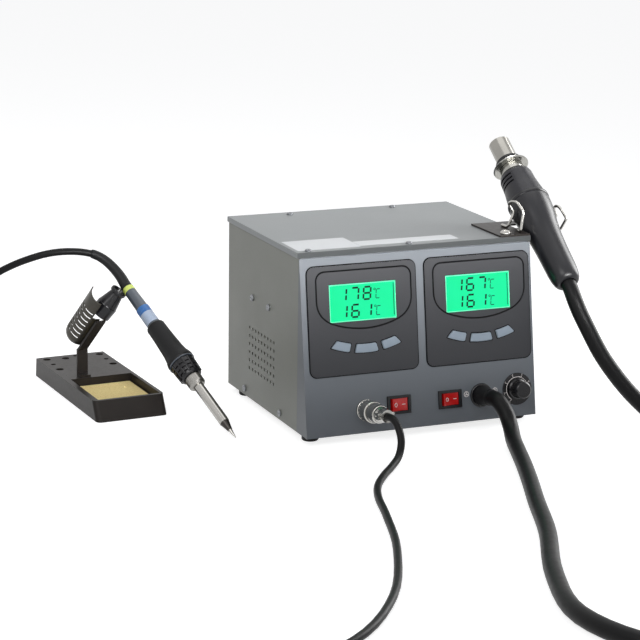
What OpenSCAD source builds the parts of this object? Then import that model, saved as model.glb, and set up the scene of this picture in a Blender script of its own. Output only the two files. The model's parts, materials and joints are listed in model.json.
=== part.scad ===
// Two-channel rework station: a sheet-steel control case, a hot air gun in a wire clip on its
// right edge, and a soldering iron that leans on the funnel of a separate weighted stand.
// Millimetres. X runs right along the front, Y runs back, Z is up from the bench.
// The origin lies on the bench under the middle of the set.

/* [Case] */
// Width of the case over the cover
case_w = 210; // [180:1:240]
// Depth of the case at the top
case_d = 158.6; // [140:0.2:190]
// Height of the steel case without its feet
case_h = 148.5; // [130:0.5:170]
// How far the front panel leans out from top to bottom
front_lean = 21.7; // [10:0.1:35]
// Thickness of the steel sheet
sheet_t = 1; // [0.8:0.1:1.5]
// Depth of the rim that the cover turns down all round
cover_rim = 4.5; // [3:0.5:8]
// Gap between neighbouring sheet parts
seam = 0.15; // [0.1:0.05:0.4]
// Width of the flanges that the sheets are bent to
flange_w = 12; // [10:1:16]
// Height of the rubber feet
foot_h = 6; // [4:0.5:10]
// Diameter of the rubber feet
foot_dia = 14; // [10:1:20]
// Distance of the foot centres from the case sides
foot_inset = 11; // [9:1:25]
// Foot centres in front of the middle of the top
foot_front = 84; // [70:1:92]
// Foot centres behind the middle of the top
foot_back = 58; // [40:1:68]

/* [Side vents] */
// Diameter of the punched vent holes
vent_dia = 3; // [2:0.1:4]
// Spacing of the vent holes along the side
vent_pitch_y = 6.9; // [5:0.1:9]
// Spacing of the vent rows
vent_pitch_z = 7.1; // [5:0.1:9]
// Height of the lowest vent row above the case bottom
vent_low = 26.7; // [20:0.1:60]
// Vent holes in one row
vent_cols = 9; // [4:1:12]
// Rows of vent holes
vent_rows = 6; // [3:1:8]

/* [Display plates] */
// Width of each display plate
plate_w = 95.4; // [80:0.2:98]
// Height of each display plate along the panel
plate_h = 88.8; // [70:0.2:95]
// Thickness of the display plates
plate_t = 1.2; // [0.8:0.1:2]
// Corner radius of the display plates
plate_r = 6; // [3:0.5:10]
// Left edge of the left display plate
plate_left_u = 6.6; // [5:0.1:12]
// Left edge of the right display plate
plate_right_u = 110.4; // [106:0.1:114]
// Distance from the top edge of the panel to the plates
plate_top_v = 12.2; // [8:0.1:20]
// Width of the visible glass
lcd_w = 59; // [50:0.5:64]
// Height of the visible glass
lcd_h = 30.6; // [24:0.2:36]
// Distance from a plate's left edge to its glass
lcd_u = 18.6; // [12:0.2:24]
// Distance from a plate's top edge to its glass
lcd_v = 15.4; // [10:0.2:20]
// Half the width of the grooved line round a window
bezel_half = 42.4; // [36:0.2:45]
// Distance from a plate's top edge to the top of the grooved line
bezel_top_v = 3.8; // [2:0.1:8]
// Distance from a plate's top edge to the lowest point of the grooved line
bezel_low_v = 52.8; // [49:0.1:60]
// Width of the grooved line
bezel_line_w = 1.1; // [0.6:0.1:2]
// Depth of the grooved line
bezel_depth = 0.5; // [0.3:0.1:0.8]
// Width of the middle key at half its height
key_mid_w = 19; // [14:0.2:22]
// Width of an outer key at half its height
key_side_w = 13.9; // [10:0.1:18]
// Space between neighbouring keys
key_space = 4.8; // [3:0.1:7]
// Height of the keys along the panel
key_h = 7; // [5:0.2:9]
// Radius of the arc along the keys' lower edges
key_arc_r = 85; // [70:1:120]
// Slant of the key ends that face each other
key_slant = 15; // [0:1:20]
// Slant of the outermost key ends
key_end_slant = 37; // [10:1:45]
// Length that is cut from each key corner
key_r = 1.3; // [0.6:0.1:2]
// How far a key stands above its plate
key_rise = 1.4; // [0.8:0.1:3]
// Gap round a key in its slot
key_gap = 0.2; // [0.1:0.05:0.4]
// Distance from a plate's left edge to the middle key
key_mid_u = 49.3; // [42:0.1:56]
// Distance from a plate's top edge to the middle key's lower edge
key_low_v = 72; // [62:0.2:78]

/* [Rocker switches] */
// Width of a rocker bezel
rocker_w = 21; // [18:0.5:24]
// Height of a rocker bezel
rocker_h = 15; // [12:0.5:17]
// Position of the left rocker across the panel
rocker_left_u = 83.1; // [76:0.1:92]
// Position of the right rocker across the panel
rocker_right_u = 129.5; // [118:0.1:136]
// Distance of the rockers from the top edge of the panel
rocker_v = 129.6; // [118:0.1:136]
// How far a rocker leans from level
rocker_tilt = 9; // [5:0.5:14]
// Radius of the rocker's pivot pins
rocker_pin_r = 1.5; // [1:0.1:2]
// Running gap of the pivot pins
pin_gap = 0.05; // [0.02:0.01:0.1]

/* [Front connectors] */
// Position of the iron socket across the panel
socket_u = 54; // [40:0.1:66]
// Distance of the socket from the top edge of the panel
socket_v = 131.3; // [120:0.1:136]
// Diameter of the socket flange and of the coupling ring
socket_dia = 18; // [16:0.5:22]
// Thread diameter of the socket
socket_thread = 16; // [14:0.5:18]
// Length of the plug in front of the panel
plug_len = 42; // [36:1:50]
// Position of the air hose outlet across the panel
hose_u = 158.5; // [146:0.1:166]
// Distance of the hose outlet from the top edge of the panel
hose_v = 129.1; // [120:0.1:134]
// Position of the air flow dial across the panel
dial_u = 192; // [184:0.1:194]
// Distance of the dial from the top edge of the panel
dial_v = 127; // [116:0.1:132]
// Diameter of the dial's scale disc
dial_dia = 27; // [22:0.5:28]
// Diameter of the dial's knob
knob_dia = 15; // [12:0.5:18]
// Height of the knob
knob_h = 13; // [10:0.5:16]
// Diameter of the potentiometer shaft
shaft_dia = 6; // [4:0.5:6.5]

/* [Air gun] */
// Distance of the gun's axis from the middle of the case
gun_x = 121; // [119:0.5:130]
// Slope of the gun below the horizontal
gun_slope = 36.6; // [25:0.2:45]
// Outer radius of the nozzle
nozzle_r = 9.3; // [7:0.1:11]
// Length of the nozzle
nozzle_len = 36; // [28:1:45]
// Wall of the nozzle
nozzle_wall = 0.8; // [0.5:0.1:1.2]
// Radius of the polished flange
flange_r = 16; // [13:0.5:18]
// Greatest radius of the gun body
gun_r = 17.8; // [15:0.1:20]
// Radius of the grip near its end
grip_r = 12.7; // [11:0.1:14]
// Length of the gun from the nozzle mouth to the end of the grip
gun_len = 161; // [145:1:180]
// Wall of the gun's shells
shell_wall = 2; // [1.5:0.1:3]
// Diameter of the air hose
hose_dia = 13; // [11:0.5:15]
// Diameter of the clip's spring wire
wire_dia = 2.5; // [2:0.1:3]
// Thickness of the clip's foot plate
clip_t = 1.5; // [1:0.1:2.5]

/* [Soldering iron] */
// Angle of the iron from the vertical
iron_tilt = 56.6; // [50:0.1:62]
// Heading of the iron seen from above
iron_turn = 108.1; // [100:0.1:120]
// Length of the iron from its tip to the end of the handle tube
iron_len = 171.6; // [160:0.5:190]
// Radius of the iron's barrel
barrel_r = 4.35; // [3.5:0.05:6]
// Radius of the knurled nut
nut_r = 7.3; // [6:0.1:9]
// Greatest radius of the iron's grip
iron_flare_r = 11.8; // [10:0.1:14]
// Radius of the iron's grip at the handle end
iron_grip_r = 8.1; // [7:0.1:10]
// Radius of the handle tube behind the grip
handle_r = 5.9; // [5:0.1:7]
// Radius of the iron's boot where it starts
boot_r = 5; // [4.5:0.1:6]
// How much thinner the boot ends
boot_taper = 1.3; // [0.5:0.1:1.6]
// Diameter of the iron's cord
cord_dia = 6; // [4.5:0.5:7]

/* [Stand] */
// Width of the stand
stand_w = 63; // [55:0.5:75]
// Length of the stand on the bench
stand_l = 160; // [140:1:180]
// Height of the stand
stand_h = 16.5; // [12:0.5:22]
// Turn of the stand on the bench
stand_turn = 2.8; // [0:0.5:10]
// How far the stand's front face leans back
stand_lean = 9; // [4:0.5:14]
// Wall of the stand
stand_wall = 2; // [1.5:0.1:3]
// Radius of the stand's front corners
stand_r = 4.5; // [3:0.5:8]
// Width of the sponge tray
tray_w = 55; // [45:0.5:57]
// Length of the sponge tray
tray_l = 68; // [55:0.5:75]
// Width of the sponge
sponge_w = 46.5; // [35:0.5:52]
// Length of the sponge
sponge_l = 62; // [40:1:66]
// Thickness of the sponge
sponge_t = 8; // [5:0.5:9]
// Width of the holder's arm
arm_w = 9.5; // [8:0.5:14]
// Thickness of the holder's arm
arm_t = 2; // [1.5:0.1:3]
// Lift of the holder above the horizontal
holder_lift = 46; // [35:0.5:60]
// Heading of the holder to the right of the front
holder_turn = 16; // [0:0.5:30]
// Outer radius of the heat shield
shield_r = 12; // [12:0.1:18]
// Length of the heat shield
shield_l = 56; // [45:1:65]
// Radius of the lip round the funnel's mouth
mouth_r = 7.2; // [6.8:0.1:9]
// Lift of the funnel above the horizontal
funnel_lift = 51; // [35:0.5:60]
// Heading of the funnel to the right of the front
funnel_turn = 64; // [30:0.5:80]

/* [Hidden] */
// Fineness of turned surfaces and of small ones
big_fn = 40;
mid_fn = 24;
low_fn = 16;
// Slope of the front panel and height of the cover
slope = atan2(front_lean, case_h);
case_top = foot_h + case_h;
panel_len = norm([case_h, front_lean]);
// Half width of the folded body inside the cover's rim, and its back face
body_hw = case_w/2 - sheet_t - seam;
body_back = case_d/2 - sheet_t - seam;
body_front = -case_d/2 + 2*seam;
// Top of the folded body, which carries the cover
body_top = case_top - sheet_t;
// Middle of the set seen from above, relative to the middle of the case top
set_mid_x = -51.2;
set_mid_y = 29.8;
// Screws of the case
screw_r = 1.5;
screw_head_r = 2.9;
screw_head_h = 1.7;
screw_len = 7;
screw_hole_r = 1.6;
cover_screws_xy = [[-94, -75], [-5, -75], [-51, 69], [47.5, 71]];
side_screws_yz = [[21.1, 95.4], [-15.7, 95.4], [37.8, 11.8], [-42.4, 11.8]];
foot_xy = [for (sx = [-1, 1], y = [-foot_front, foot_back]) [sx*(case_w/2 - foot_inset), y]];
// Depth of the display boards behind the panel, and their supports
board_w = plate_w - 6;
board_h = plate_h - 6;
board_t = 1.6;
spacer_r = 2.6;
spacer_l = 7;
spacer_inset = 3.5;
// Radius to the middle of the keys, the ends of the outer keys and their middle
key_row_r = key_arc_r - key_h/2;
key_side_in = key_mid_w/2 + key_space;
key_side_out = key_side_in + key_side_w;
key_pitch = (key_side_in + key_side_out)/2;
// Key mechanics
key_flange = 0.9;
key_flange_t = 1.1;
key_behind = 0.2;
key_edge = 0.5;
key_stem_r = 1.4;
// Rocker openings and bodies
rocker_bezel_t = 1.8;
rocker_body_w = rocker_w - 2;
rocker_body_h = rocker_h - 2.2;
rocker_depth = 16;
rocker_wall = 1.5;
rocker_side = 1.1;
rocker_pivot = -1.2;
rocker_half = 7.2;
// Radii of the outlet fitting and of the potentiometer's bush
gland_r = 8;
bush_r = 3.6;
// Clip: its screw on the cover, the arm under the gun and the bends of its wires
clip_screw_xy = [85, -72.5];
clip_hole_r = 2.1;
clip_arm_y = [-38, -25];
clip_end_x = 147;
wire_bend = 1.8;
// Main board, mains inlet and air intake inside the case
main_pos = [-38, -52];
main_w = 70;
main_l = 56;
inlet_x = -88;
inlet_z = 20;
inlet_w = 27.2;
inlet_h = 20.2;
intake_x = 52;
intake_z = 48;
// Gun axis: the nozzle mouth and the stations along it
gun_mouth = [gun_x, 12.2, 216.5];
clamp_at = 22;
flange_at = 28;
collar_at = 29.8;
shell_at = 37;
grip_at = 70;
nozzle_bore_gap = 0.05;
// Stations along the iron from its tip
tip_point = [-149.6, -61.1, 0.8];
cone_end = 17.3;
tip_end = 52.5;
barrel_end = 60.9;
nut_at = 58.8;
nut_end = 68.8;
collar_end = 86.3;
grip_end = 130.8;
ring_len = 4.5;
iron_end = iron_len + ring_len;
// The stand's front left corner on the bench
stand_pos = [-241.6, 18.8, 0];
tray_x = 5;
tray_y = 12;
tray_floor = 2;
shield_at = 8;
shield_start = 122;
shield_span = 144;
shield_low = 36;
arm_foot = [19, 90];
// The bend of the holder's arm, above the arm's foot
bend_h = 23;
arm_len = 42.6;
funnel_at = [6.1, 9.5, 46.5];
neck_end = 18;
collar_r = 9.2;
arm_screw_y = 85.4;
// Direction of the iron and the middle line of its boot: along the iron, then over to the left
iron_dir = [sin(iron_tilt)*cos(iron_turn), sin(iron_tilt)*sin(iron_turn), cos(iron_tilt)];
boot_route = [
    tip_point + (iron_end + 0.1)*iron_dir, tip_point + (iron_end + 2)*iron_dir,
    tip_point + (iron_end + 4)*iron_dir, [-197.7, 84.4, 103.4], [-199.4, 87, 107], [-201.8, 89.9, 110.8],
    [-205.2, 93.2, 115.2],
    [-209.2, 96, 119.2], [-214.2, 98.2, 122.8], [-219.2, 98.9, 125.2]
];
// Route of the iron's cord from its plug round the front and back to the iron's boot
cord_route = [
    [-51, -140.4, 30.8], [-49.8, -149, 30.2], [-48.8, -156, 25], [-49.6, -163, 16],
    [-55, -170, 7], [-66, -181, 3.2], [-81, -199, 3.2], [-96, -221, 3.2],
    [-107, -247, 3.2], [-118, -285, 3.2], [-140, -350, 3.2], [-180, -430, 3.2],
    [-235, -490, 3.2], [-310, -520, 3.2], [-390, -500, 3.2], [-440, -440, 3.2],
    [-450, -360, 3.2], [-438, -270, 3.2], [-420, -180, 3.2], [-405, -90, 3.2],
    [-396, 0, 3.2], [-386, 70, 3.2], [-376, 114, 8], [-356, 136, 30], [-334, 140, 64],
    [-311, 133, 96], [-297.3, 126.6, 108], [-284.7, 119.6, 116], [-273.8, 112.8, 121.6],
    [-262.4, 107.6, 125.8], [-252.3, 104.4, 127.9], [-242.3, 102.4, 128.5],
    [-232.2, 100.9, 127.9], [-225.5, 99.9, 126.8], [-219.65, 98.95, 125.35]
];
// Route of the air hose from the panel round the front right corner to the gun
hose_route = [
    [53.5, -116, 29.42], [53.5, -118, 29.71], [53.5, -120.4, 30.06], [54.6, -128, 29], [56, -137, 22.5],
    [55.5, -147, 13.5],
    [50, -163, 7.4], [40, -190, 6.7], [28, -222, 6.7], [12, -262, 6.7],
    [-6, -305, 6.7], [-30, -365, 6.7], [-66, -440, 6.7], [-86, -510, 6.7],
    [-66, -572, 6.7], [-14, -606, 6.7], [48, -588, 6.7], [88, -530, 6.7],
    [112, -450, 6.7], [140, -360, 6.7], [160, -287, 6.7], [172.5, -243, 6.7],
    [178.6, -219.1, 6.8], [179.9, -206.6, 7.4], [178.4, -193.1, 10.2], [173.8, -180.3, 16.2],
    [166.5, -168.8, 25], [157.6, -160, 35.8], [148.4, -152, 49.1], [138, -144, 66.8],
    [127.9, -135.5, 90], [124.5, -131.2, 99.5], [122, -126.8, 108.8], [121.3, -121.7, 115.9]
];

// One sub-part at a time, or all of them

// Colours of the materials
paint_grey = [0.62, 0.65, 0.68];
cover_grey = [0.78, 0.80, 0.80];
charcoal = [0.25, 0.25, 0.28];
gloss_black = [0.09, 0.09, 0.1];
rubber_black = [0.07, 0.07, 0.08];
steel = [0.75, 0.75, 0.76];
dark_steel = [0.42, 0.41, 0.4];
key_grey = [0.72, 0.76, 0.82];
lcd_green = [0.15, 0.9, 0.5];
switch_red = [0.85, 0.1, 0.12];
board_green = [0.1, 0.35, 0.2];
copper = [0.72, 0.42, 0.2];
sponge_tan = [0.86, 0.74, 0.46];
ring_yellow = [0.8, 0.9, 0.25];
handle_blue = [0.2, 0.24, 0.32];
ceramic = [0.9, 0.87, 0.8];
pump_white = [0.85, 0.85, 0.82];

// Places a sub-part that is given relative to the middle of the case top
module on_bench() translate([-set_mid_x, -set_mid_y, 0]) children();

// Panel coordinates: x runs from the left edge, -y down the slope, z out of the panel
module on_panel(u = 0, v = 0)
    on_bench()
    translate([-case_w/2, -case_d/2, case_top])
    rotate([90 - slope, 0, 0])
    translate([u, -v, 0])
    children();

// Gun coordinates: z runs from the nozzle mouth to the end of the grip
module on_gun()
    on_bench()
    translate(gun_mouth)
    rotate([90 + gun_slope, 0, 0])
    children();

// Iron coordinates: z runs from the tip to the handle
module on_iron()
    on_bench()
    translate(tip_point)
    rotate([0, iron_tilt, iron_turn])
    children();

// Stand coordinates: x right and y back from the front left corner
module on_stand()
    on_bench()
    translate(stand_pos)
    rotate([0, 0, stand_turn])
    children();

// Holder coordinates: z runs up the slanted arm and y away from its underside
module on_holder()
    on_stand()
    translate([arm_foot.x, arm_foot.y, stand_h + bend_h])
    rotate([0, 0, holder_turn - stand_turn])
    rotate([90 - holder_lift, 0, 0])
    children();

// A rectangle with round corners about the middle of its size
module round_rect(w, h, r) {
    square([w - 2*r, h], center = true);
    square([w, h - 2*r], center = true);
    for (sx = [-1, 1], sy = [-1, 1])
        translate([sx*(w/2 - r), sy*(h/2 - r)])
            circle(r, $fn = mid_fn);
}

// A pan-head screw with a cross recess, its head's seat at z = 0 and its thread below
module screw(len, shank_r, head_r, head_h) {
    difference() {
        rotate_extrude($fn = low_fn)
            polygon([
                [0, -len], [shank_r, -len], [shank_r, 0], [head_r, 0],
                [head_r, head_h*0.45], [head_r*0.72, head_h], [0, head_h]
            ]);
        for (a = [0, 90])
            rotate([0, 0, a])
                translate([-head_r*0.55, -head_r*0.09, head_h*0.5])
                    cube([head_r*1.1, head_r*0.18, head_h]);
    }
}

// A wire of round section bent through a list of points
module wire(points, r) {
    route = bent(points, wire_bend);
    swept_tube(route, [for (p = route) r], 10);
}

// Direction of a route at one of its points
function heading(p, i) =
    let (a = p[max(i - 1, 0)], b = p[min(i + 1, len(p) - 1)]) (b - a)/norm(b - a);

// One ring of a swept tube, square to the route and level with the bench
function ring(p, i, r, sides) =
    let (
        d = heading(p, i),
        flat = norm([d.x, d.y]) > 0.05 ? [d.y, -d.x, 0] : [1, 0, 0],
        side = flat/norm(flat),
        up = cross(side, d)
    )
    [for (k = [0:sides - 1]) p[i] + r*(cos(360*k/sides)*side + sin(360*k/sides)*up)];

// A closed tube swept along a route, with one radius for each point
module swept_tube(p, radii, sides) {
    n = len(p);
    rings = [for (i = [0:n - 1]) each ring(p, i, radii[i], sides)];
    walls = [for (i = [0:n - 2], k = [0:sides - 1])
        let (a = i*sides + k, b = i*sides + (k + 1) % sides)
        each [[a, b, a + sides], [b, b + sides, a + sides]]];
    first = [for (k = [sides - 1:-1:0]) k];
    last = [for (k = [0:sides - 1]) (n - 1)*sides + k];
    polyhedron(concat(rings), concat(walls, [first, last]), convexity = 10);
}

// A route with each corner cut by a short round bend
function bent(p, r) = [
    p[0],
    for (i = [1:len(p) - 2])
        let (
            a = (p[i] - p[i - 1])/norm(p[i] - p[i - 1]),
            b = (p[i + 1] - p[i])/norm(p[i + 1] - p[i])
        )
        each [p[i] - r*a, p[i] + r*(b - a)/4, p[i] + r*b],
    p[len(p) - 1]
];

// Points between a route's own, so that the tube bends smoothly
function smooth(p, steps) = [
    for (i = [0:len(p) - 2], j = [0:steps - 1])
        let (
            a = p[max(i - 1, 0)], b = p[i], c = p[i + 1], e = p[min(i + 2, len(p) - 1)],
            t = j/steps
        )
        0.5*((2*b) + (c - a)*t + (2*a - 5*b + 4*c - e)*t*t + (3*b - a - 3*c + e)*t*t*t),
    p[len(p) - 1]
];

// Case

// Floor sheet with its flanges turned up inside the side walls
module base_pan() {
    pan_hw = body_hw - sheet_t - seam - 0.2;
    pan_front = -case_d/2 - front_lean + flange_w + seam;
    pan_back = body_back - sheet_t - seam;
    color(paint_grey) on_bench()
        difference() {
            union() {
                translate([-pan_hw, pan_front, foot_h])
                    cube([2*pan_hw, pan_back - pan_front, sheet_t]);
                for (x = [-pan_hw, pan_hw - sheet_t])
                    translate([x, body_front + 14, foot_h])
                        cube([sheet_t, pan_back - body_front - 14, flange_w]);
                translate([-pan_hw, pan_back - sheet_t, foot_h])
                    cube([2*pan_hw, sheet_t, flange_w]);
            }
            for (p = foot_xy)
                translate([p.x, p.y, foot_h - 1])
                    cylinder(h = 4, r = screw_hole_r, $fn = low_fn);
            for (sx = [-1, 1], s = [2, 3])
                translate([sx*(pan_hw + 1), side_screws_yz[s][0], side_screws_yz[s][1]])
                    rotate([0, -sx*90, 0])
                        cylinder(h = 4, r = screw_hole_r, $fn = low_fn);
        }
}

// Side and back walls in one folded sheet, with the flange that carries the cover
module case_shell() {
    depth = body_back - body_front;
    wall_h = body_top - foot_h;
    color(paint_grey) on_bench()
        difference() {
            union() {
                for (x = [-body_hw, body_hw - sheet_t])
                    translate([x, body_front, foot_h])
                        cube([sheet_t, depth, wall_h]);
                translate([-body_hw, body_back - sheet_t, foot_h])
                    cube([2*body_hw, sheet_t, wall_h]);
                for (x = [-body_hw, body_hw - flange_w])
                    translate([x, body_front + flange_w + 2, body_top - sheet_t])
                        cube([flange_w, depth - flange_w - 2, sheet_t]);
                translate([-body_hw, body_back - flange_w, body_top - sheet_t])
                    cube([2*body_hw, flange_w, sheet_t]);
            }
            for (s = [2, 3])
                translate([cover_screws_xy[s][0], cover_screws_xy[s][1], body_top - 3])
                    cylinder(h = 6, r = screw_hole_r, $fn = low_fn);
            for (sx = [-1, 1], s = side_screws_yz)
                translate([sx*(body_hw + 1), s[0], s[1]])
                    rotate([0, -sx*90, 0])
                        cylinder(h = 4, r = screw_hole_r, $fn = low_fn);
            side_vents();
            translate([-case_w/2, body_front - 1, case_top - cover_rim - seam])
                cube([case_w, sheet_t + 1, cover_rim + 1]);
            // Opening for the mains inlet and the air intake of the pump in the back
            translate([inlet_x, body_back - 3, inlet_z])
                cube([inlet_w, 6, inlet_h]);
            for (ring_n = [0:2], k = [0:max(0, 6*ring_n - 1)])
                rotate_about([intake_x, 0, intake_z], 60*k/max(1, ring_n), 6*ring_n);
        }
}

// One round hole through the back wall, at a radius and angle about the intake's middle
module rotate_about(middle, angle, radius)
    translate([middle.x + radius*cos(angle), body_back - 3, middle.z + radius*sin(angle)])
        rotate([-90, 0, 0])
            cylinder(h = 6, r = vent_dia/2, $fn = low_fn);

// The grid of punched holes through both side walls
module side_vents() {
    first_y = case_d/2 - 52.1;
    for (sx = [-1, 1], i = [0:vent_cols - 1], j = [0:vent_rows - 1])
        translate([sx*(body_hw + 1), first_y - i*vent_pitch_y, foot_h + vent_low + j*vent_pitch_z])
            rotate([0, -sx*90, 0])
                cylinder(h = 3, r = vent_dia/2, $fn = 14);
}

// Flat cover with a rim turned down all round
module top_cover() {
    color(cover_grey) on_bench()
        difference() {
            translate([-case_w/2, -case_d/2, case_top - cover_rim])
                cube([case_w, case_d, cover_rim]);
            translate([-case_w/2 + sheet_t, -case_d/2 + sheet_t, case_top - cover_rim - 1])
                cube([case_w - 2*sheet_t, case_d - 2*sheet_t, cover_rim + 1 - sheet_t]);
            for (p = cover_screws_xy)
                translate([p.x, p.y, case_top - 3])
                    cylinder(h = 6, r = screw_hole_r, $fn = low_fn);
            translate([clip_screw_xy.x, clip_screw_xy.y, case_top - 3])
                cylinder(h = 6, r = clip_hole_r, $fn = low_fn);
        }
}

// Leaning front with wedge-shaped cheeks, a bottom return and a flange under the cover
module front_panel() {
    cheek_t = 1.3;
    panel_v = cover_rim + 0.6;
    rim_y = -case_d/2 + sheet_t + seam;
    color(paint_grey) {
        difference() {
            union() {
                on_panel(case_w/2 - body_hw, panel_len)
                    translate([0, 0, -sheet_t])
                        cube([2*body_hw, panel_len - panel_v, sheet_t]);
                on_bench() for (x = [-body_hw, body_hw - cheek_t])
                    translate([x, 0, 0])
                        rotate([90, 0, 90])
                            linear_extrude(cheek_t)
                                polygon([
                                    [body_front - seam, foot_h],
                                    [-case_d/2 - front_lean + 0.3, foot_h],
                                    [-case_d/2 - 0.5, case_top - panel_v - 0.4],
                                    [body_front - seam, case_top - panel_v - 0.4]
                                ]);
                on_bench() for (x = [-body_hw + cheek_t - 0.2, body_hw - cheek_t - 0.8])
                    translate([x, -case_d/2 - 4, foot_h + 14])
                        cube([1, 12, case_h - 60]);
                on_bench() translate([-body_hw, -case_d/2 - front_lean + 0.2, foot_h])
                    cube([2*body_hw, flange_w - 0.2, sheet_t]);
                on_bench() translate([-body_hw + 2, rim_y - 1.4, case_top - panel_v - 1.2])
                    cube([2*body_hw - 4, 2.4, 1.2]);
                on_bench() translate([-body_hw + 2, rim_y, case_top - panel_v - 1.2])
                    cube([2*body_hw - 4, sheet_t, panel_v + 1.2 - sheet_t]);
                on_bench() translate([-body_hw + 2, rim_y, body_top - sheet_t])
                    cube([2*body_hw - 4, flange_w, sheet_t]);
            }
            on_bench() for (s = [0, 1])
                translate([cover_screws_xy[s][0], cover_screws_xy[s][1], body_top - 3])
                    cylinder(h = 6, r = screw_hole_r, $fn = low_fn);
            on_bench() translate([clip_screw_xy.x, clip_screw_xy.y, body_top - 3])
                cylinder(h = 6, r = clip_hole_r, $fn = low_fn);
            for (u = [plate_left_u, plate_right_u])
                on_panel(u + lcd_u - 4, plate_top_v + lcd_v + lcd_h + 4)
                    translate([0, 0, -3])
                        cube([lcd_w + 8, lcd_h + 8, 6]);
            for (u = [plate_left_u, plate_right_u], k = [-1:1])
                key_slot(u, k, 2*key_gap);
            for (u = [rocker_left_u, rocker_right_u])
                on_panel(u, rocker_v)
                    cube([rocker_body_w + 0.2, rocker_body_h + 0.2, 6], center = true);
            panel_hole(socket_u, socket_v, socket_thread/2 + 0.1);
            panel_hole(hose_u, hose_v, gland_r + 0.1);
            panel_hole(dial_u, dial_v, bush_r + 0.1);
        }
    }
}

// A round hole through the front panel
module panel_hole(u, v, r)
    on_panel(u, v)
        translate([0, 0, -3])
            cylinder(h = 6, r = r, $fn = mid_fn);

// Coordinates about the middle of the arc on which a plate's keys lie
module on_keys(plate_u)
    on_panel(plate_u + key_mid_u, plate_top_v + key_low_v - key_arc_r)
        children();

// The middle of a key: k is -1, 0 or 1 from left to right
module at_key(plate_u, k)
    on_keys(plate_u)
        translate([k*key_pitch, -sqrt(pow(key_row_r, 2) - pow(k*key_pitch, 2)), 0])
            children();

// Where an end of a key lies at a radius, from its place at half height
function key_end(at, radius, slant, grow) =
    at + (radius - key_row_r)*tan(slant) + grow/cos(slant);

// Points of an arc below the middle, between two places across it
function key_edge_line(radius, from, to) = [
    for (i = [0:3])
        let (x = from + (to - from)*i/3) [x, -sqrt(radius*radius - x*x)]
];

// An outline with each sharp corner cut round
function soft_corners(p, r) = [
    for (i = [0:len(p) - 1])
        let (
            a = p[(i + len(p) - 1) % len(p)] - p[i],
            b = p[(i + 1) % len(p)] - p[i],
            u = a/norm(a),
            v = b/norm(b)
        )
        each u*v < -0.9 ? [p[i]] : [p[i] + r*u, p[i] + 0.28*r*(u + v), p[i] + r*v]
];

// Outline of key k about the middle of the arc, widened on every side by grow
module key_outline(k, grow = 0) {
    low_r = key_arc_r + grow;
    top_r = key_arc_r - key_h - grow;
    ends = [for (radius = [low_r, top_r])
        k == 0
            ? [-key_end(key_mid_w/2, radius, key_slant, grow), key_end(key_mid_w/2, radius, key_slant, grow)]
            : [
                key_end(key_side_in, radius, key_slant, -grow),
                key_end(key_side_out, radius, key_end_slant, grow)
            ]
    ];
    mirror([k < 0 ? 1 : 0, 0])
        polygon(soft_corners(concat(
            key_edge_line(low_r, ends[0][0], ends[0][1]),
            key_edge_line(top_r, ends[1][1], ends[1][0])
        ), key_r));
}

// The slot of one key, cut through plate and panel
module key_slot(plate_u, k, gap)
    on_keys(plate_u)
        translate([0, 0, -3])
            linear_extrude(6)
                key_outline(k, gap);

// Four turned rubber feet with a recess for their screws
module feet() {
    color(rubber_black) on_bench()
        for (p = foot_xy)
            translate([p.x, p.y, 0])
                rotate_extrude($fn = mid_fn)
                    polygon([
                        [3.4, 0], [foot_dia/2 - 0.8, 0], [foot_dia/2, 0.8],
                        [foot_dia/2, foot_h - 0.6], [foot_dia/2 - 0.6, foot_h],
                        [screw_hole_r, foot_h], [screw_hole_r, 3], [3.4, 3]
                    ]);
}

// The screws of the cover, of the side walls and of the feet
module case_screws() {
    color(steel) on_bench() {
        for (p = cover_screws_xy)
            translate([p.x, p.y, case_top])
                screw(screw_len, screw_r, screw_head_r, screw_head_h);
        for (sx = [-1, 1], s = side_screws_yz)
            translate([sx*body_hw, s[0], s[1]])
                rotate([0, sx*90, 0])
                    screw(screw_len - 1, screw_r, screw_head_r, screw_head_h);
        for (p = foot_xy)
            translate([p.x, p.y, 3])
                rotate([180, 0, 0])
                    screw(foot_h - 3 + sheet_t, screw_r, screw_head_r, screw_head_h);
    }
}

// Display plates and keys

// Two plates, each with a window, three key slots and a grooved line round the window
module display_plates() {
    color(charcoal)
        for (u = [plate_left_u, plate_right_u])
            difference() {
                on_panel(u + plate_w/2, plate_top_v + plate_h/2)
                    linear_extrude(plate_t)
                        round_rect(plate_w, plate_h, plate_r);
                on_panel(u + lcd_u, plate_top_v + lcd_v + lcd_h)
                    translate([0, 0, -1])
                        cube([lcd_w, lcd_h, 5]);
                on_panel(u + key_mid_u, plate_top_v)
                    translate([0, 0, plate_t - bezel_depth])
                        linear_extrude(2)
                            difference() {
                                polygon(bezel_outline(0));
                                polygon(bezel_outline(bezel_line_w));
                            }
                for (k = [-1:1])
                    key_slot(u, k, key_gap);
            }
}

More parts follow.
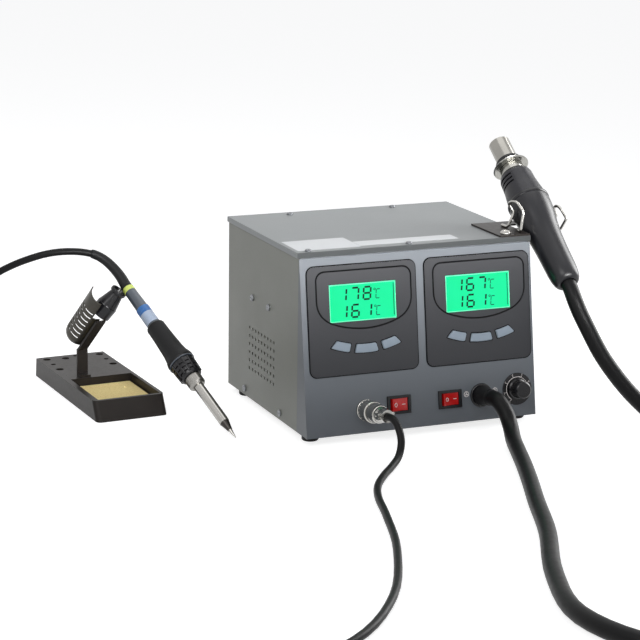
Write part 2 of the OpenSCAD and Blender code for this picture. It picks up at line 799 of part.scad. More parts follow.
// Outline of the grooved line: round upper corners, straight sides and a lower edge that bulges
function bezel_outline(inset) =
    let (
        half = bezel_half - inset,
        top = -bezel_top_v - inset,
        corner = 8 - inset,
        bulge_r = 80 - inset,
        middle = -bezel_low_v + 80,
        side_low = -bezel_low_v + 24.8,
        flank = 30,
        flank_y = middle - sqrt(bulge_r*bulge_r - flank*flank),
        pull_y = middle - sqrt(bulge_r*bulge_r - half*half),
        right = concat(
            [for (a = [90:-15:0]) [half - corner + corner*cos(a), top - corner + corner*sin(a)]],
            [for (k = [0:6])
                let (t = k/6)
                (1 - t)*(1 - t)*[half, side_low] + 2*t*(1 - t)*[half, pull_y] + t*t*[flank, flank_y]],
            [for (x = [20, 10]) [x, middle - sqrt(bulge_r*bulge_r - x*x)]]
        ),
        last = len(right) - 1
    )
    concat(right, [[0, middle - bulge_r]], [for (i = [last:-1:0]) [-right[i].x, right[i].y]]);

// Two liquid crystal modules whose glass fills the windows
module lcd_modules() {
    color(lcd_green)
        for (u = [plate_left_u, plate_right_u]) {
            on_panel(u + lcd_u - 3.5, plate_top_v + lcd_v + lcd_h + 3.5)
                translate([0, 0, -sheet_t - spacer_l])
                    cube([lcd_w + 7, lcd_h + 7, sheet_t + spacer_l - 0.1]);
            on_panel(u + lcd_u + 0.15, plate_top_v + lcd_v + lcd_h - 0.15)
                translate([0, 0, -0.2])
                    cube([lcd_w - 0.3, lcd_h - 0.3, plate_t - 0.2]);
        }
}

// A key: a cap with a cut edge, a retaining flange behind the panel and a stem over its switch
module key_cap(plate_u, k) {
    cap_low = -sheet_t - key_behind - 0.1;
    cap_top = plate_t + key_rise;
    color(key_grey) {
        on_keys(plate_u) {
            translate([0, 0, cap_low])
                linear_extrude(cap_top - key_edge - cap_low)
                    key_outline(k);
            translate([0, 0, cap_top - key_edge])
                linear_extrude(key_edge)
                    key_outline(k, -key_edge);
            translate([0, 0, -sheet_t - key_behind - key_flange_t])
                linear_extrude(key_flange_t)
                    key_outline(k, key_flange);
        }
        at_key(plate_u, k)
            translate([0, 0, -sheet_t - spacer_l + 3])
                cylinder(h = spacer_l - 4, r = key_stem_r, $fn = low_fn);
    }
}

module key_l1() key_cap(plate_left_u, -1);
module key_l2() key_cap(plate_left_u, 0);
module key_l3() key_cap(plate_left_u, 1);
module key_r1() key_cap(plate_right_u, -1);
module key_r2() key_cap(plate_right_u, 0);
module key_r3() key_cap(plate_right_u, 1);

// Two circuit boards behind the plates, each with three push switches
module display_boards() {
    board_z = -sheet_t - spacer_l - board_t;
    for (u = [plate_left_u, plate_right_u]) {
        color(board_green)
            on_panel(u + 3, plate_top_v + 3 + board_h)
                translate([0, 0, board_z])
                    cube([board_w, board_h, board_t]);
        color(steel)
            for (k = [-1:1])
                at_key(u, k) {
                    translate([-3, -3, board_z + board_t])
                        cube([6, 6, 1.2]);
                    translate([0, 0, board_z + board_t + 1.2])
                        cylinder(h = 0.7, r = 1.6, $fn = low_fn);
                }
    }
}

// Round spacers between the panel and the display boards, and under the main board
module board_spacers() {
    color(ceramic) {
        for (u = [plate_left_u, plate_right_u], sx = [0, 1], sy = [0, 1])
            on_panel(u + 3 + spacer_inset + sx*(board_w - 2*spacer_inset),
                plate_top_v + 3 + spacer_inset + sy*(board_h - 2*spacer_inset))
                translate([0, 0, -sheet_t - spacer_l])
                    cylinder(h = spacer_l, r = spacer_r, $fn = low_fn);
        on_bench()
            for (sx = [0, 1], sy = [0, 1])
                translate([
                    main_pos.x + spacer_inset + sx*(main_w - 2*spacer_inset),
                    main_pos.y + spacer_inset + sy*(main_l - 2*spacer_inset),
                    foot_h + sheet_t
                ])
                    cylinder(h = spacer_l, r = spacer_r, $fn = low_fn);
    }
}

// Rocker switches

// Two snap-in switch bodies with a bezel, a well and bores for the rocker's pivots
module rocker_frames() {
    color(gloss_black)
        for (u = [rocker_left_u, rocker_right_u])
            on_panel(u, rocker_v)
                difference() {
                    union() {
                        translate([-rocker_w/2, -rocker_h/2, 0])
                            cube([rocker_w, rocker_h, rocker_bezel_t]);
                        translate([-rocker_body_w/2, -rocker_body_h/2, -rocker_depth])
                            cube([rocker_body_w, rocker_body_h, rocker_depth]);
                    }
                    translate([
                        -rocker_body_w/2 + rocker_wall, -rocker_body_h/2 + rocker_side,
                        -rocker_depth + 6
                    ])
                        cube([
                            rocker_body_w - 2*rocker_wall, rocker_body_h - 2*rocker_side,
                            rocker_depth
                        ]);
                    translate([0, 0, rocker_pivot])
                        rotate([90, 0, 0])
                            cylinder(h = rocker_body_h - 0.4, r = rocker_pin_r + pin_gap,
                                center = true, $fn = mid_fn);
                }
}

// A rocker with a shallow V on top, tipped to its right-hand side, and its two pivot pins
module rocker(u) {
    rocker_body = rocker_body_h - 2*rocker_side - 0.4;
    color(switch_red)
        on_panel(u, rocker_v)
            translate([0, 0, rocker_pivot])
                rotate([90, rocker_tilt, 0]) {
                    linear_extrude(rocker_body, center = true)
                        polygon([
                            [-rocker_half, 3.4], [0, 2.3], [rocker_half, 3.4],
                            [rocker_half, -1.5], [2, -3.6], [-2, -3.6], [-rocker_half, -1.5]
                        ]);
                    cylinder(h = rocker_body_h - 0.6, r = rocker_pin_r, center = true, $fn = mid_fn);
                }
}

module rocker_left() rocker(rocker_left_u);
module rocker_right() rocker(rocker_right_u);

// Iron socket and plug

// Threaded panel socket with its flange and the insulator inside
module iron_socket() {
    thread_r = socket_thread/2;
    color(steel)
        on_panel(socket_u, socket_v)
            rotate_extrude($fn = mid_fn)
                polygon([
                    [0, -14], [thread_r - 2, -14], [thread_r - 2, -10], [thread_r, -10],
                    [thread_r, 0], [socket_dia/2, 0], [socket_dia/2, 2],
                    [socket_dia/2 - 0.5, 2.5], [thread_r, 2.5], [thread_r, 9],
                    [thread_r - 1.5, 9], [thread_r - 1.5, 1], [0, 1]
                ]);
}

// Plug shell behind the coupling ring
module plug_body() {
    color(steel)
        on_panel(socket_u, socket_v)
            rotate_extrude($fn = mid_fn)
                polygon([
                    [0, 1.3], [5.8, 1.3], [6.3, 1.8], [6.3, 9.2], [7.2, 9.2], [7.2, 11],
                    [6.6, 11], [6.6, 17], [8, 17], [8, 19], [7.6, 21], [7.6, 27],
                    [7, 29], [0, 29]
                ]);
}

// Knurled coupling ring that runs on the socket's thread
module plug_ring() {
    flutes = 20;
    color(steel)
        on_panel(socket_u, socket_v)
            difference() {
                rotate_extrude($fn = big_fn)
                    polygon([
                        [socket_thread/2 + 0.08, 3.2], [8.6, 3.2], [9, 3.8], [9, 15.6],
                        [8.4, 16.6], [6.7, 16.6], [6.7, 11.2], [socket_thread/2 + 0.08, 11.2]
                    ]);
                for (k = [0:flutes - 1])
                    rotate([0, 0, k*360/flutes])
                        translate([9, 0, 9.5])
                            cube([0.7, 1, 9], center = true);
            }
}

// Cable clamp at the end of the plug with its two saddle screws
module plug_clamp() {
    color(dark_steel)
        on_panel(socket_u, socket_v)
            difference() {
                union() {
                    rotate_extrude($fn = mid_fn)
                        polygon([
                            [0, 29], [6.6, 29], [6.6, 31], [5.2, 34], [5.2, plug_len], [0, plug_len]
                        ]);
                    for (sx = [-1, 1])
                        translate([sx*5.6 - 1.6, -2.6, 33.5])
                            cube([3.2, 5.2, 6]);
                }
                translate([-8, -0.3, 33])
                    cube([16, 0.6, plug_len - 33 + 1]);
            }
}

// Air outlet and flow dial

// Outlet fitting through the panel, with a barb for the pump's tube inside
module hose_gland() {
    color(gloss_black)
        on_panel(hose_u, hose_v)
            rotate_extrude($fn = mid_fn)
                polygon([
                    [3, -22], [4, -22], [4.6, -19], [4, -16], [4.6, -13], [4, -10],
                    [gland_r, -10], [gland_r, 0], [gland_r + 2, 0], [gland_r + 2, 1.2],
                    [gland_r + 1.4, 1.8], [3, 1.8]
                ]);
}

// Wrinkled sleeve over the start of the hose
module hose_boot() {
    color([0.3, 0.3, 0.31])
        on_panel(hose_u, hose_v)
            rotate_extrude($fn = mid_fn)
                polygon([
                    [0, 1.8], [8.6, 1.8], [8.9, 3.4], [8.2, 5], [8.7, 6.8], [8, 8.6],
                    [8.5, 10.4], [7.8, 12.2], [8.1, 14], [7.5, 16], [6.9, 18], [0, 18]
                ]);
}

// Scale disc of the air flow dial
module dial_plate() {
    color(gloss_black)
        on_panel(dial_u, dial_v)
            difference() {
                cylinder(h = 0.6, r = dial_dia/2, $fn = big_fn);
                translate([0, 0, -1])
                    cylinder(h = 3, r = bush_r + 0.1, $fn = mid_fn);
            }
}

// Knob with a skirt, a fluted side and a bore for the shaft
module air_knob() {
    flutes = 18;
    color(gloss_black)
        on_panel(dial_u, dial_v)
            difference() {
                rotate_extrude($fn = big_fn)
                    polygon([
                        [shaft_dia/2, 1.2], [knob_dia/2 + 1, 1.2], [knob_dia/2 + 1, 2.4],
                        [knob_dia/2, 3.2], [knob_dia/2 - 0.6, knob_h - 0.8],
                        [knob_dia/2 - 1.4, knob_h], [0, knob_h], [0, 10.2], [shaft_dia/2, 10.2]
                    ]);
                for (k = [0:flutes - 1])
                    rotate([0, 0, k*360/flutes])
                        translate([knob_dia/2 + 0.15, 0, 8])
                            cube([0.9, 0.9, 8], center = true);
                translate([0, 0, -1])
                    cylinder(h = 5, r = bush_r + 0.6, $fn = mid_fn);
            }
}

// Shaft that the knob is pushed onto
module pot_shaft() {
    color(steel)
        on_panel(dial_u, dial_v)
            translate([0, 0, -6])
                cylinder(h = 16, r = shaft_dia/2, $fn = mid_fn);
}

// Potentiometer with its threaded bush through the panel
module pot_body() {
    color(dark_steel)
        on_panel(dial_u, dial_v)
            rotate_extrude($fn = mid_fn)
                polygon([
                    [0, -11], [8.2, -11], [8.2, -sheet_t], [bush_r, -sheet_t], [bush_r, 1],
                    [shaft_dia/2 + pin_gap, 1], [shaft_dia/2 + pin_gap, -6.5], [0, -6.5]
                ]);
}

// Gun clip

// Foot plate on the cover with an arm that reaches under the gun
module clip_plate() {
    color(gloss_black) on_bench()
        difference() {
            translate([0, 0, case_top])
                linear_extrude(clip_t)
                    union() {
                        translate([77, clip_arm_y[0]]) square([27.6, clip_arm_y[1] - clip_arm_y[0]]);
                        translate([79, -78.6]) square([25.6, 50]);
                        translate([77, -76.6]) square([10, 50]);
                        translate([79, -76.6]) circle(2, $fn = mid_fn);
                        translate([100, clip_arm_y[0]])
                            square([clip_end_x - 100 - 3, clip_arm_y[1] - clip_arm_y[0]]);
                        translate([120, clip_arm_y[0] + 3])
                            square([clip_end_x - 120, clip_arm_y[1] - clip_arm_y[0] - 6]);
                        for (y = [clip_arm_y[0] + 3, clip_arm_y[1] - 3])
                            translate([clip_end_x - 3, y]) circle(3, $fn = mid_fn);
                    }
            translate([clip_screw_xy.x, clip_screw_xy.y, case_top - 1])
                cylinder(h = clip_t + 2, r = clip_hole_r, $fn = low_fn);
        }
}

// Left jaw: a hairpin of spring wire that narrows towards the gun and flares at the top
module clip_wire_left() {
    z0 = case_top + clip_t + wire_dia/2;
    color(steel) on_bench()
        wire([
            [96.5, -44, z0], [97.5, -53, z0], [101.3, -55.5, 170], [97, -53.5, 177.5],
            [96.5, -60.5, 180.6], [97, -68, 181.4], [101.3, -72.6, 173.2], [98.5, -73.6, z0],
            [100.5, -64, z0]
        ], wire_dia/2);
}

// Right jaw: a hairpin that bows out round the gun and closes above it
module clip_wire_right() {
    z0 = case_top + clip_t + wire_dia/2;
    under = case_top - wire_dia/2;
    color(steel) on_bench()
        wire([
            [143.5, -30, z0], [143.5, -44, z0 + 0.6], [145, -50.5, 163.1], [142.2, -50.2, 169.6],
            [141.4, -54.5, 172.8], [141.6, -59.6, 173.2], [142.6, -63.2, 170.9],
            [145, -68, 164.2], [141.5, -64, 154], [142, -56, under - 0.4], [142, -30, under]
        ], wire_dia/2);
}

// Large cross-head screw of the clip
module clip_screw() {
    color(steel) on_bench()
        translate([clip_screw_xy.x, clip_screw_xy.y, case_top + clip_t])
            screw(8, 2, 4.6, 2.8);
}

// Hot air gun

// Open steel nozzle that is pushed onto the heater's end
module gun_nozzle() {
    bore = nozzle_r - nozzle_wall;
    color(steel) on_gun()
        rotate_extrude($fn = big_fn)
            polygon([
                [bore, 0], [nozzle_r, 0], [nozzle_r, 20], [nozzle_r - 0.5, 21.5],
                [nozzle_r - 0.5, nozzle_len], [bore - 0.5, nozzle_len], [bore - 0.5, 21.5],
                [bore, 20]
            ]);
}

// Clamp ring with its ears and the slot between them
module nozzle_clamp() {
    inner = nozzle_r - 0.5 + nozzle_bore_gap;
    color(rubber_black) on_gun()
        difference() {
            union() {
                translate([0, 0, clamp_at])
                    cylinder(h = 5, r = inner + 1.4, $fn = big_fn);
                translate([-2.6, -inner - 5, clamp_at])
                    cube([5.2, 5.4, 5]);
            }
            translate([0, 0, clamp_at - 1])
                cylinder(h = 7, r = inner, $fn = big_fn);
            translate([-0.6, -inner - 6, clamp_at - 1])
                cube([1.2, 8, 7]);
            translate([0, -inner - 3.2, clamp_at + 2.5])
                rotate([0, 90, 0])
                    cylinder(h = 8, r = 1.1, center = true, $fn = low_fn);
        }
}

// Polished flange that keeps a hand off the nozzle
module gun_flange() {
    inner = nozzle_r - 0.5 + nozzle_bore_gap;
    color(steel) on_gun()
        rotate_extrude($fn = big_fn)
            polygon([
                [inner, flange_at], [flange_r - 1.2, flange_at], [flange_r, flange_at + 0.7],
                [flange_r - 1.2, flange_at + 1.6], [inner, flange_at + 1.6]
            ]);
}

// Chrome collar between the flange and the shell
module gun_collar() {
    inner = nozzle_r - 0.5 + nozzle_bore_gap;
    color(steel) on_gun()
        rotate_extrude($fn = big_fn)
            polygon([
                [inner, collar_at], [inner + 1.6, collar_at], [inner + 1.6, shell_at + 3],
                [inner, shell_at + 3]
            ]);
}

// Front shell with three curved air slots on each side
module gun_shell() {
    collar_r = nozzle_r + 1.2;
    color(gloss_black) on_gun()
        difference() {
            rotate_extrude($fn = big_fn)
                polygon([
                    [collar_r, shell_at], [11.8, shell_at], [13.3, shell_at + 1.6],
                    [14.4, shell_at + 5], [14.7, shell_at + 12], [15.3, shell_at + 18],
                    [16.3, shell_at + 25], [gun_r - 0.7, grip_at],
                    [gun_r - 0.7 - shell_wall, grip_at], [gun_r - 0.7 - shell_wall, grip_at + 4],
                    [gun_r - 1.6 - 2*shell_wall, grip_at + 4],
                    [gun_r - 1.6 - 2*shell_wall, shell_at + 18], [12.4, shell_at + 6],
                    [collar_r, shell_at + 4]
                ]);
            for (side = [0, 180], k = [0:2])
                rotate([0, 0, side - 46])
                    rotate_extrude(angle = 72, $fn = big_fn)
                        translate([8, shell_at + 6 + 4*k])
                            square([12, 1.7]);
        }
}

// Tapering grip with a step over the shell and a rounded end for the hose
module gun_grip() {
    color(rubber_black) on_gun()
        rotate_extrude($fn = big_fn)
            polygon([
                [gun_r - shell_wall, grip_at + 0.1], [gun_r - 0.3, grip_at + 0.1],
                [gun_r, grip_at + 1.2], [gun_r, grip_at + 10], [gun_r - 0.6, grip_at + 16],
                [15.9, grip_at + 24], [14.4, grip_at + 34], [13.5, grip_at + 46],
                [13, grip_at + 58], [grip_r, grip_at + 76], [grip_r - 0.5, gun_len - 9],
                [grip_r - 1.6, gun_len - 4.5], [grip_r - 3.6, gun_len - 1.4],
                [hose_dia/2 + 1.6, gun_len], [hose_dia/2 + 0.2, gun_len],
                [hose_dia/2 + 0.2, gun_len - 8], [grip_r - shell_wall - 0.6, gun_len - 10],
                [grip_r - shell_wall, grip_at + 76], [13 - shell_wall, grip_at + 58],
                [14.2 - shell_wall, grip_at + 34], [gun_r - shell_wall - 0.2, grip_at + 16]
            ]);
}

// Ceramic heater core on its support plate inside the shells
module gun_heater() {
    color(ceramic) on_gun()
        rotate_extrude($fn = mid_fn)
            polygon([
                [0, 6], [6.4, 6], [6.9, 7], [6.9, 58], [12.2, 58], [12.2, 60], [5, 60],
                [5, 84], [0, 84]
            ]);
}

// The air hose as it lies on the bench
module air_hose() {
    route = smooth(hose_route, 2);
    color(rubber_black) on_bench()
        swept_tube(route, [for (p = route) hose_dia/2], 10);
}

// Soldering iron

// Conical tip with its shank inside the barrel
module iron_tip() {
    color(dark_steel) on_iron()
        rotate_extrude($fn = mid_fn)
            polygon([
                [0, 0], [0.5, 0], [0.9, 1.2], [1.6, 4], [barrel_r - 0.45, cone_end - 1],
                [barrel_r - 0.45, cone_end], [barrel_r - 1.1, cone_end],
                [barrel_r - 1.1, tip_end], [0, tip_end]
            ]);
}

// Steel tube that holds the tip, with a flange under the nut
module iron_barrel() {
    bore = barrel_r - 1;
    color(steel) on_iron()
        rotate_extrude($fn = mid_fn)
            polygon([
                [bore, cone_end + 0.1], [barrel_r, cone_end + 0.1], [barrel_r, barrel_end],
                [barrel_r + 1.2, barrel_end], [barrel_r + 1.2, barrel_end + 1.2],
                [bore, barrel_end + 1.2]
            ]);
}

// Knurled nut that holds the barrel
module barrel_nut() {
    flutes = 18;
    color(dark_steel) on_iron()
        difference() {
            rotate_extrude($fn = mid_fn)
                polygon([
                    [barrel_r + 0.1, nut_at], [nut_r - 1.6, nut_at], [nut_r - 0.8, nut_at + 1],
                    [nut_r, nut_at + 2], [nut_r, nut_end - 0.6], [nut_r - 0.6, nut_end],
                    [barrel_r + 1.3, nut_end], [barrel_r + 1.3, barrel_end - 0.1],
                    [barrel_r + 0.1, barrel_end - 0.1]
                ]);
            for (k = [0:flutes - 1])
                rotate([0, 0, k*360/flutes])
                    translate([nut_r, 0, nut_end - 3.4])
                        cube([0.8, 0.8, 7], center = true);
        }
}

// Black ribbed collar between the nut and the grip
module iron_collar() {
    color(gloss_black) on_iron()
        rotate_extrude($fn = mid_fn)
            polygon([
                [barrel_r + 1.4, nut_end + 3.9], [barrel_r + 1.4, nut_end + 0.1],
                [8.2, nut_end + 0.1], [9.2, nut_end + 1.2],
                [9.6, nut_end + 3.4], [8.8, nut_end + 3.4], [8.8, nut_end + 4.6],
                [10, nut_end + 4.6], [10.2, nut_end + 7.2], [9, nut_end + 7.2],
                [9, nut_end + 8.4], [10.3, nut_end + 8.4], [10.4, nut_end + 11.2],
                [9.2, nut_end + 11.2], [9.2, nut_end + 12.4], [10.5, nut_end + 12.4],
                [10.5, collar_end], [handle_r + 0.1, collar_end], [handle_r + 0.1, nut_end + 3.9]
            ]);
}

// Soft grip that flares towards the collar
module iron_grip() {
    color(rubber_black) on_iron()
        rotate_extrude($fn = mid_fn)
            polygon([
                [handle_r + 0.1, collar_end + 0.1], [iron_flare_r - 0.8, collar_end + 0.1],
                [iron_flare_r, collar_end + 1.4], [iron_flare_r - 0.3, collar_end + 3.6],
                [iron_flare_r - 1.7, collar_end + 8], [iron_flare_r - 2.5, collar_end + 14],
                [iron_grip_r + 0.6, collar_end + 24], [iron_grip_r + 0.2, collar_end + 33],
                [iron_grip_r, grip_end - 2], [iron_grip_r - 0.8, grip_end - 0.4],
                [iron_grip_r - 1.6, grip_end], [handle_r + 0.1, grip_end]
            ]);
}

// Handle tube that runs through the grip
module iron_handle() {
    color(handle_blue) on_iron()
        rotate_extrude($fn = mid_fn)
            polygon([
                [handle_r - 1.4, nut_end + 4], [handle_r - 0.1, nut_end + 4],
                [handle_r, collar_end + 1], [handle_r, grip_end + 2],
                [handle_r - 0.9, iron_len], [handle_r - 2.3, iron_len],
                [handle_r - 1.4, grip_end + 2]
            ]);
}

// Coloured band between the handle tube and the boot
module iron_ring() {
    color(ring_yellow) on_iron()
        rotate_extrude($fn = mid_fn)
            polygon([
                [0, iron_len + 0.05], [handle_r - 0.7, iron_len + 0.05],
                [handle_r - 0.8, iron_end], [0, iron_end]
            ]);
}

// Bent strain relief at the end of the iron
module iron_boot() {
    route = smooth(boot_route, 3);
    n = len(route) - 1;
    color(rubber_black) on_bench()
        swept_tube(route, [for (i = [0:n]) boot_r - boot_taper*i/n], 14);
}

// The iron's cord as it lies on the bench
module iron_cord() {
    route = smooth(cord_route, 2);
    color(rubber_black) on_bench()
        swept_tube(route, [for (p = route) cord_dia/2], 8);
}

// Stand

// Hollow cast base with a sponge tray, a leaning front and holes for spare nozzles
module stand_base() {
    wall = stand_wall;
    color(gloss_black) on_stand()
        difference() {
            union() {
                difference() {
                    stand_block(0);
                    stand_block(wall);
                }
                translate([tray_x - wall, tray_y - wall, 0])
                    cube([tray_w + 2*wall, tray_l + 2*wall, stand_h - 1]);
            }
            translate([tray_x, tray_y, tray_floor])
                cube([tray_w, tray_l, stand_h]);
            for (x = [7.2, 56.6], y = [115, 150])
                stand_hole(x, y, 3.4);
            for (x = [7.2, 56.6])
                stand_hole(x, 132.5, 2.2);
            stand_hole(24, 148, 3.4);
            stand_hole(35, 153, 2.2);
            stand_hole(arm_foot.x, arm_screw_y, screw_hole_r);
        }
}

// The outer block of the stand, or the hollow below its top when inset by the wall
module stand_block(inset) {
    lean = atan2(stand_lean, stand_h);
    top = stand_h - inset;
    low = inset > 0 ? -1 : 0;
    front = inset/cos(lean);
    back_draft = inset > 0 ? 0 : 2;
    intersection() {
        translate([inset, 0, 0])
            rotate([90, 0, 90])
                linear_extrude(stand_w - 2*inset)
                    polygon([
                        [front + low*tan(lean), low], [stand_l - inset, low],
                        [stand_l - inset - back_draft, top], [front + top*tan(lean), top]
                    ]);
        // A prism along the leaning front, whose corners round the front's two upright edges
        rotate([-lean, 0, 0])
            translate([stand_w/2, inset + stand_l, -10])
                linear_extrude(stand_l)
                    round_rect(stand_w - 2*inset, 2*stand_l, stand_r - inset);
    }
}

// A round hole through the stand's top
module stand_hole(x, y, r)
    translate([x, y, stand_h - 5])
        cylinder(h = 10, r = r, $fn = mid_fn);

// Cellulose sponge in its tray
module sponge() {
    color(sponge_tan) on_stand()
        difference() {
            translate([tray_x + tray_w - sponge_w - 1.5, tray_y + tray_l - sponge_l - 1, tray_floor])
                cube([sponge_w, sponge_l, sponge_t]);
            translate([tray_x + tray_w - 12, tray_y + tray_l - 18, tray_floor - 1])
                cylinder(h = sponge_t + 2, r = 1.4, $fn = low_fn);
        }
}

// Strip with a foot, an upright and a slanted part that carries funnel and shield
module holder_arm() {
    color(gloss_black) {
        on_stand() {
            difference() {
                translate([arm_foot.x - arm_w/2, arm_screw_y - 4, stand_h])
                    cube([arm_w, arm_foot.y + arm_t/2 - arm_screw_y + 4, arm_t]);
                translate([arm_foot.x, arm_screw_y, stand_h - 1])
                    cylinder(h = arm_t + 2, r = screw_hole_r, $fn = low_fn);
            }
            translate([arm_foot.x - arm_w/2, arm_foot.y - arm_t/2, stand_h])
                cube([arm_w, arm_t, bend_h]);
            translate([arm_foot.x, arm_foot.y, stand_h + bend_h])
                rotate([0, 90, 0])
                    cylinder(h = arm_w, r = arm_t/2, center = true, $fn = low_fn);
        }
        on_holder()
            translate([-arm_w/2, -arm_t/2, 0])
                cube([arm_w, arm_t, arm_len]);
    }
}

// Slotted trough round the left and the underside of the holder, with a domed lower end
module heat_shield() {
    inner = shield_r - 1;
    color(dark_steel) on_holder()
        translate([0, shield_r + arm_t/2, shield_at])
            difference() {
                union() {
                    rotate([0, 0, shield_start])
                        rotate_extrude(angle = shield_span, $fn = big_fn)
                            translate([inner, 0])
                                square([1, shield_low]);
                    rotate([0, 0, shield_start])
                        rotate_extrude(angle = shield_span - 34, $fn = big_fn)
                            translate([inner, 0])
                                square([1, shield_l]);
                    rotate([0, 0, shield_start])
                        rotate_extrude(angle = shield_span, $fn = big_fn)
                            polygon(concat(
                                [for (a = [0:-15:-75]) [shield_r*cos(a), shield_r*0.8*sin(a)]],
                                [for (a = [-75:15:0]) [inner*cos(a), inner*0.77*sin(a)]]
                            ));
                }
                for (column = [0, 1], k = [0:6])
                    rotate([0, 0, shield_start + 8 + 52*column])
                        rotate_extrude(angle = 44, $fn = big_fn)
                            translate([inner - 1, 4 + 5.8*k])
                                square([3, 2]);
            }
}

// Turned funnel on the end of the arm: a collar, a neck that narrows and a lip round its mouth
module holder_funnel() {
    color(gloss_black) on_holder()
        translate(funnel_at)
            rotate([holder_lift - 90, 0, 0])
                rotate([0, 0, funnel_turn - holder_turn])
                    rotate([90 - funnel_lift, 0, 0])
                        rotate_extrude($fn = big_fn)
                            polygon([
                                [collar_r - 1.4, -6], [collar_r - 0.4, -6], [collar_r, -5.4],
                                [collar_r, 5], [collar_r - 0.5, 6], [mouth_r - 1.4, neck_end],
                                [mouth_r - 0.3, neck_end + 0.2], [mouth_r, neck_end + 0.8],
                                [mouth_r, neck_end + 3], [mouth_r - 0.4, neck_end + 3.6],
                                [mouth_r - 1.2, neck_end + 3.6], [mouth_r - 2.4, neck_end],
                                [collar_r - 1.6, 5.4]
                            ]);
}

// Screw that holds the arm's foot from inside the stand
module arm_screw() {
    color(steel) on_stand()
        translate([arm_foot.x, arm_screw_y, stand_h - stand_wall])
            rotate([180, 0, 0])
                screw(stand_wall + arm_t - 0.2, screw_r, screw_head_r, screw_head_h);
}

// Inside the case

// Mains transformer: laminated core, winding and mounting feet
module transformer() {
    at = [-88, -44];
    z0 = foot_h + sheet_t;
    color(dark_steel) on_bench()
        difference() {
            translate([at.x, at.y, z0])
                cube([38, 62, 52]);
            for (y = [at.y + 11, at.y + 37])
                translate([at.x - 1, y, z0 + 9])
                    cube([40, 14, 34]);
        }
    color(copper) on_bench()
        difference() {
            translate([at.x - 6, at.y + 11.1, z0 + 9.1])
                cube([50, 39.8, 33.8]);
            translate([at.x - 0.1, at.y + 25, z0 + 8])
                cube([38.2, 12, 36]);
        }
}

// Diaphragm air pump: body, dome and outlet spigot
module air_pump() {
    at = [64, 20];
    z0 = foot_h + sheet_t;
    color(pump_white) on_bench() {
        translate([at.x - 28, at.y - 40, z0])
            cube([56, 84, 44]);
        translate([at.x, at.y + 2, z0 + 44])
            cylinder(h = 18, r1 = 26, r2 = 22, $fn = mid_fn);
        translate([at.x - 12, at.y - 40, z0 + 22])
            rotate([90, 0, 0])
                cylinder(h = 14, r = 4, $fn = low_fn);
    }
}

// Main circuit board with its heat sink and capacitor
module main_board() {
    z0 = foot_h + sheet_t + spacer_l;
    on_bench() {
        color(board_green)
            translate([main_pos.x, main_pos.y, z0])
                cube([main_w, main_l, board_t]);
        color(steel)
            for (k = [0:4])
                translate([main_pos.x + 40, main_pos.y + 12 + 7*k, z0 + board_t])
                    cube([22, 2, 26]);
        color(steel)
            translate([main_pos.x + 40, main_pos.y + 10, z0 + board_t])
                cube([22, 34, 3]);
        color(rubber_black)
            translate([main_pos.x + 18, main_pos.y + 28, z0 + board_t])
                cylinder(h = 30, r = 9, $fn = mid_fn);
    }
}

// Mains inlet with its flange on the back wall, its well and three contact pins
module mains_inlet() {
    mid_x = inlet_x + inlet_w/2;
    mid_z = inlet_z + inlet_h/2;
    color(gloss_black) on_bench() {
        difference() {
            union() {
                translate([mid_x - 20, body_back, mid_z - 12])
                    cube([40, 2.4, 24]);
                translate([inlet_x + 0.2, body_back - 18, inlet_z + 0.2])
                    cube([inlet_w - 0.4, 18.1, inlet_h - 0.4]);
            }
            translate([inlet_x + 1.6, body_back - 15, inlet_z + 2])
                cube([inlet_w - 3.2, 20, inlet_h - 4]);
        }
    }
    color(steel) on_bench()
        for (k = [-1:1])
            translate([mid_x + 7*k - 1, body_back - 16, mid_z - (k == 0 ? -0.5 : 3.5)])
                cube([2, 14, 4]);
}

base_pan();
case_shell();
top_cover();
front_panel();
feet();
case_screws();
display_plates();
lcd_modules();
key_l1();
key_l2();
key_l3();
key_r1();
key_r2();
key_r3();
display_boards();
board_spacers();
rocker_frames();
rocker_left();
rocker_right();
iron_socket();
plug_body();
plug_ring();
plug_clamp();
hose_gland();
hose_boot();
dial_plate();
air_knob();
pot_shaft();
pot_body();
clip_plate();
clip_wire_left();
clip_wire_right();
clip_screw();
gun_nozzle();
nozzle_clamp();
gun_flange();
gun_collar();
gun_shell();
gun_grip();
gun_heater();
air_hose();
iron_tip();
iron_barrel();
barrel_nut();
iron_collar();
iron_grip();
iron_handle();
iron_ring();
iron_boot();
iron_cord();
stand_base();
sponge();
holder_arm();
heat_shield();
holder_funnel();
arm_screw();
transformer();
air_pump();
main_board();
mains_inlet();
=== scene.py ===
"""Looks of a two-channel hot air rework station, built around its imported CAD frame.

Every piece is placed in the frame of the part, in metres. Sizes inside the classes are in
millimetres, as a maker would write them, and one function brings them to metres.
"""

import json
import logging
import math
from dataclasses import dataclass
from enum import Enum
from typing import Iterable, Optional, Sequence

import bmesh
import bpy
from bmesh.types import BMesh, BMVert
from bpy.types import ID, Curve, Material, Mesh, Node, NodeSocket, NodeTree, Object
from mathutils import Euler, Matrix, Vector


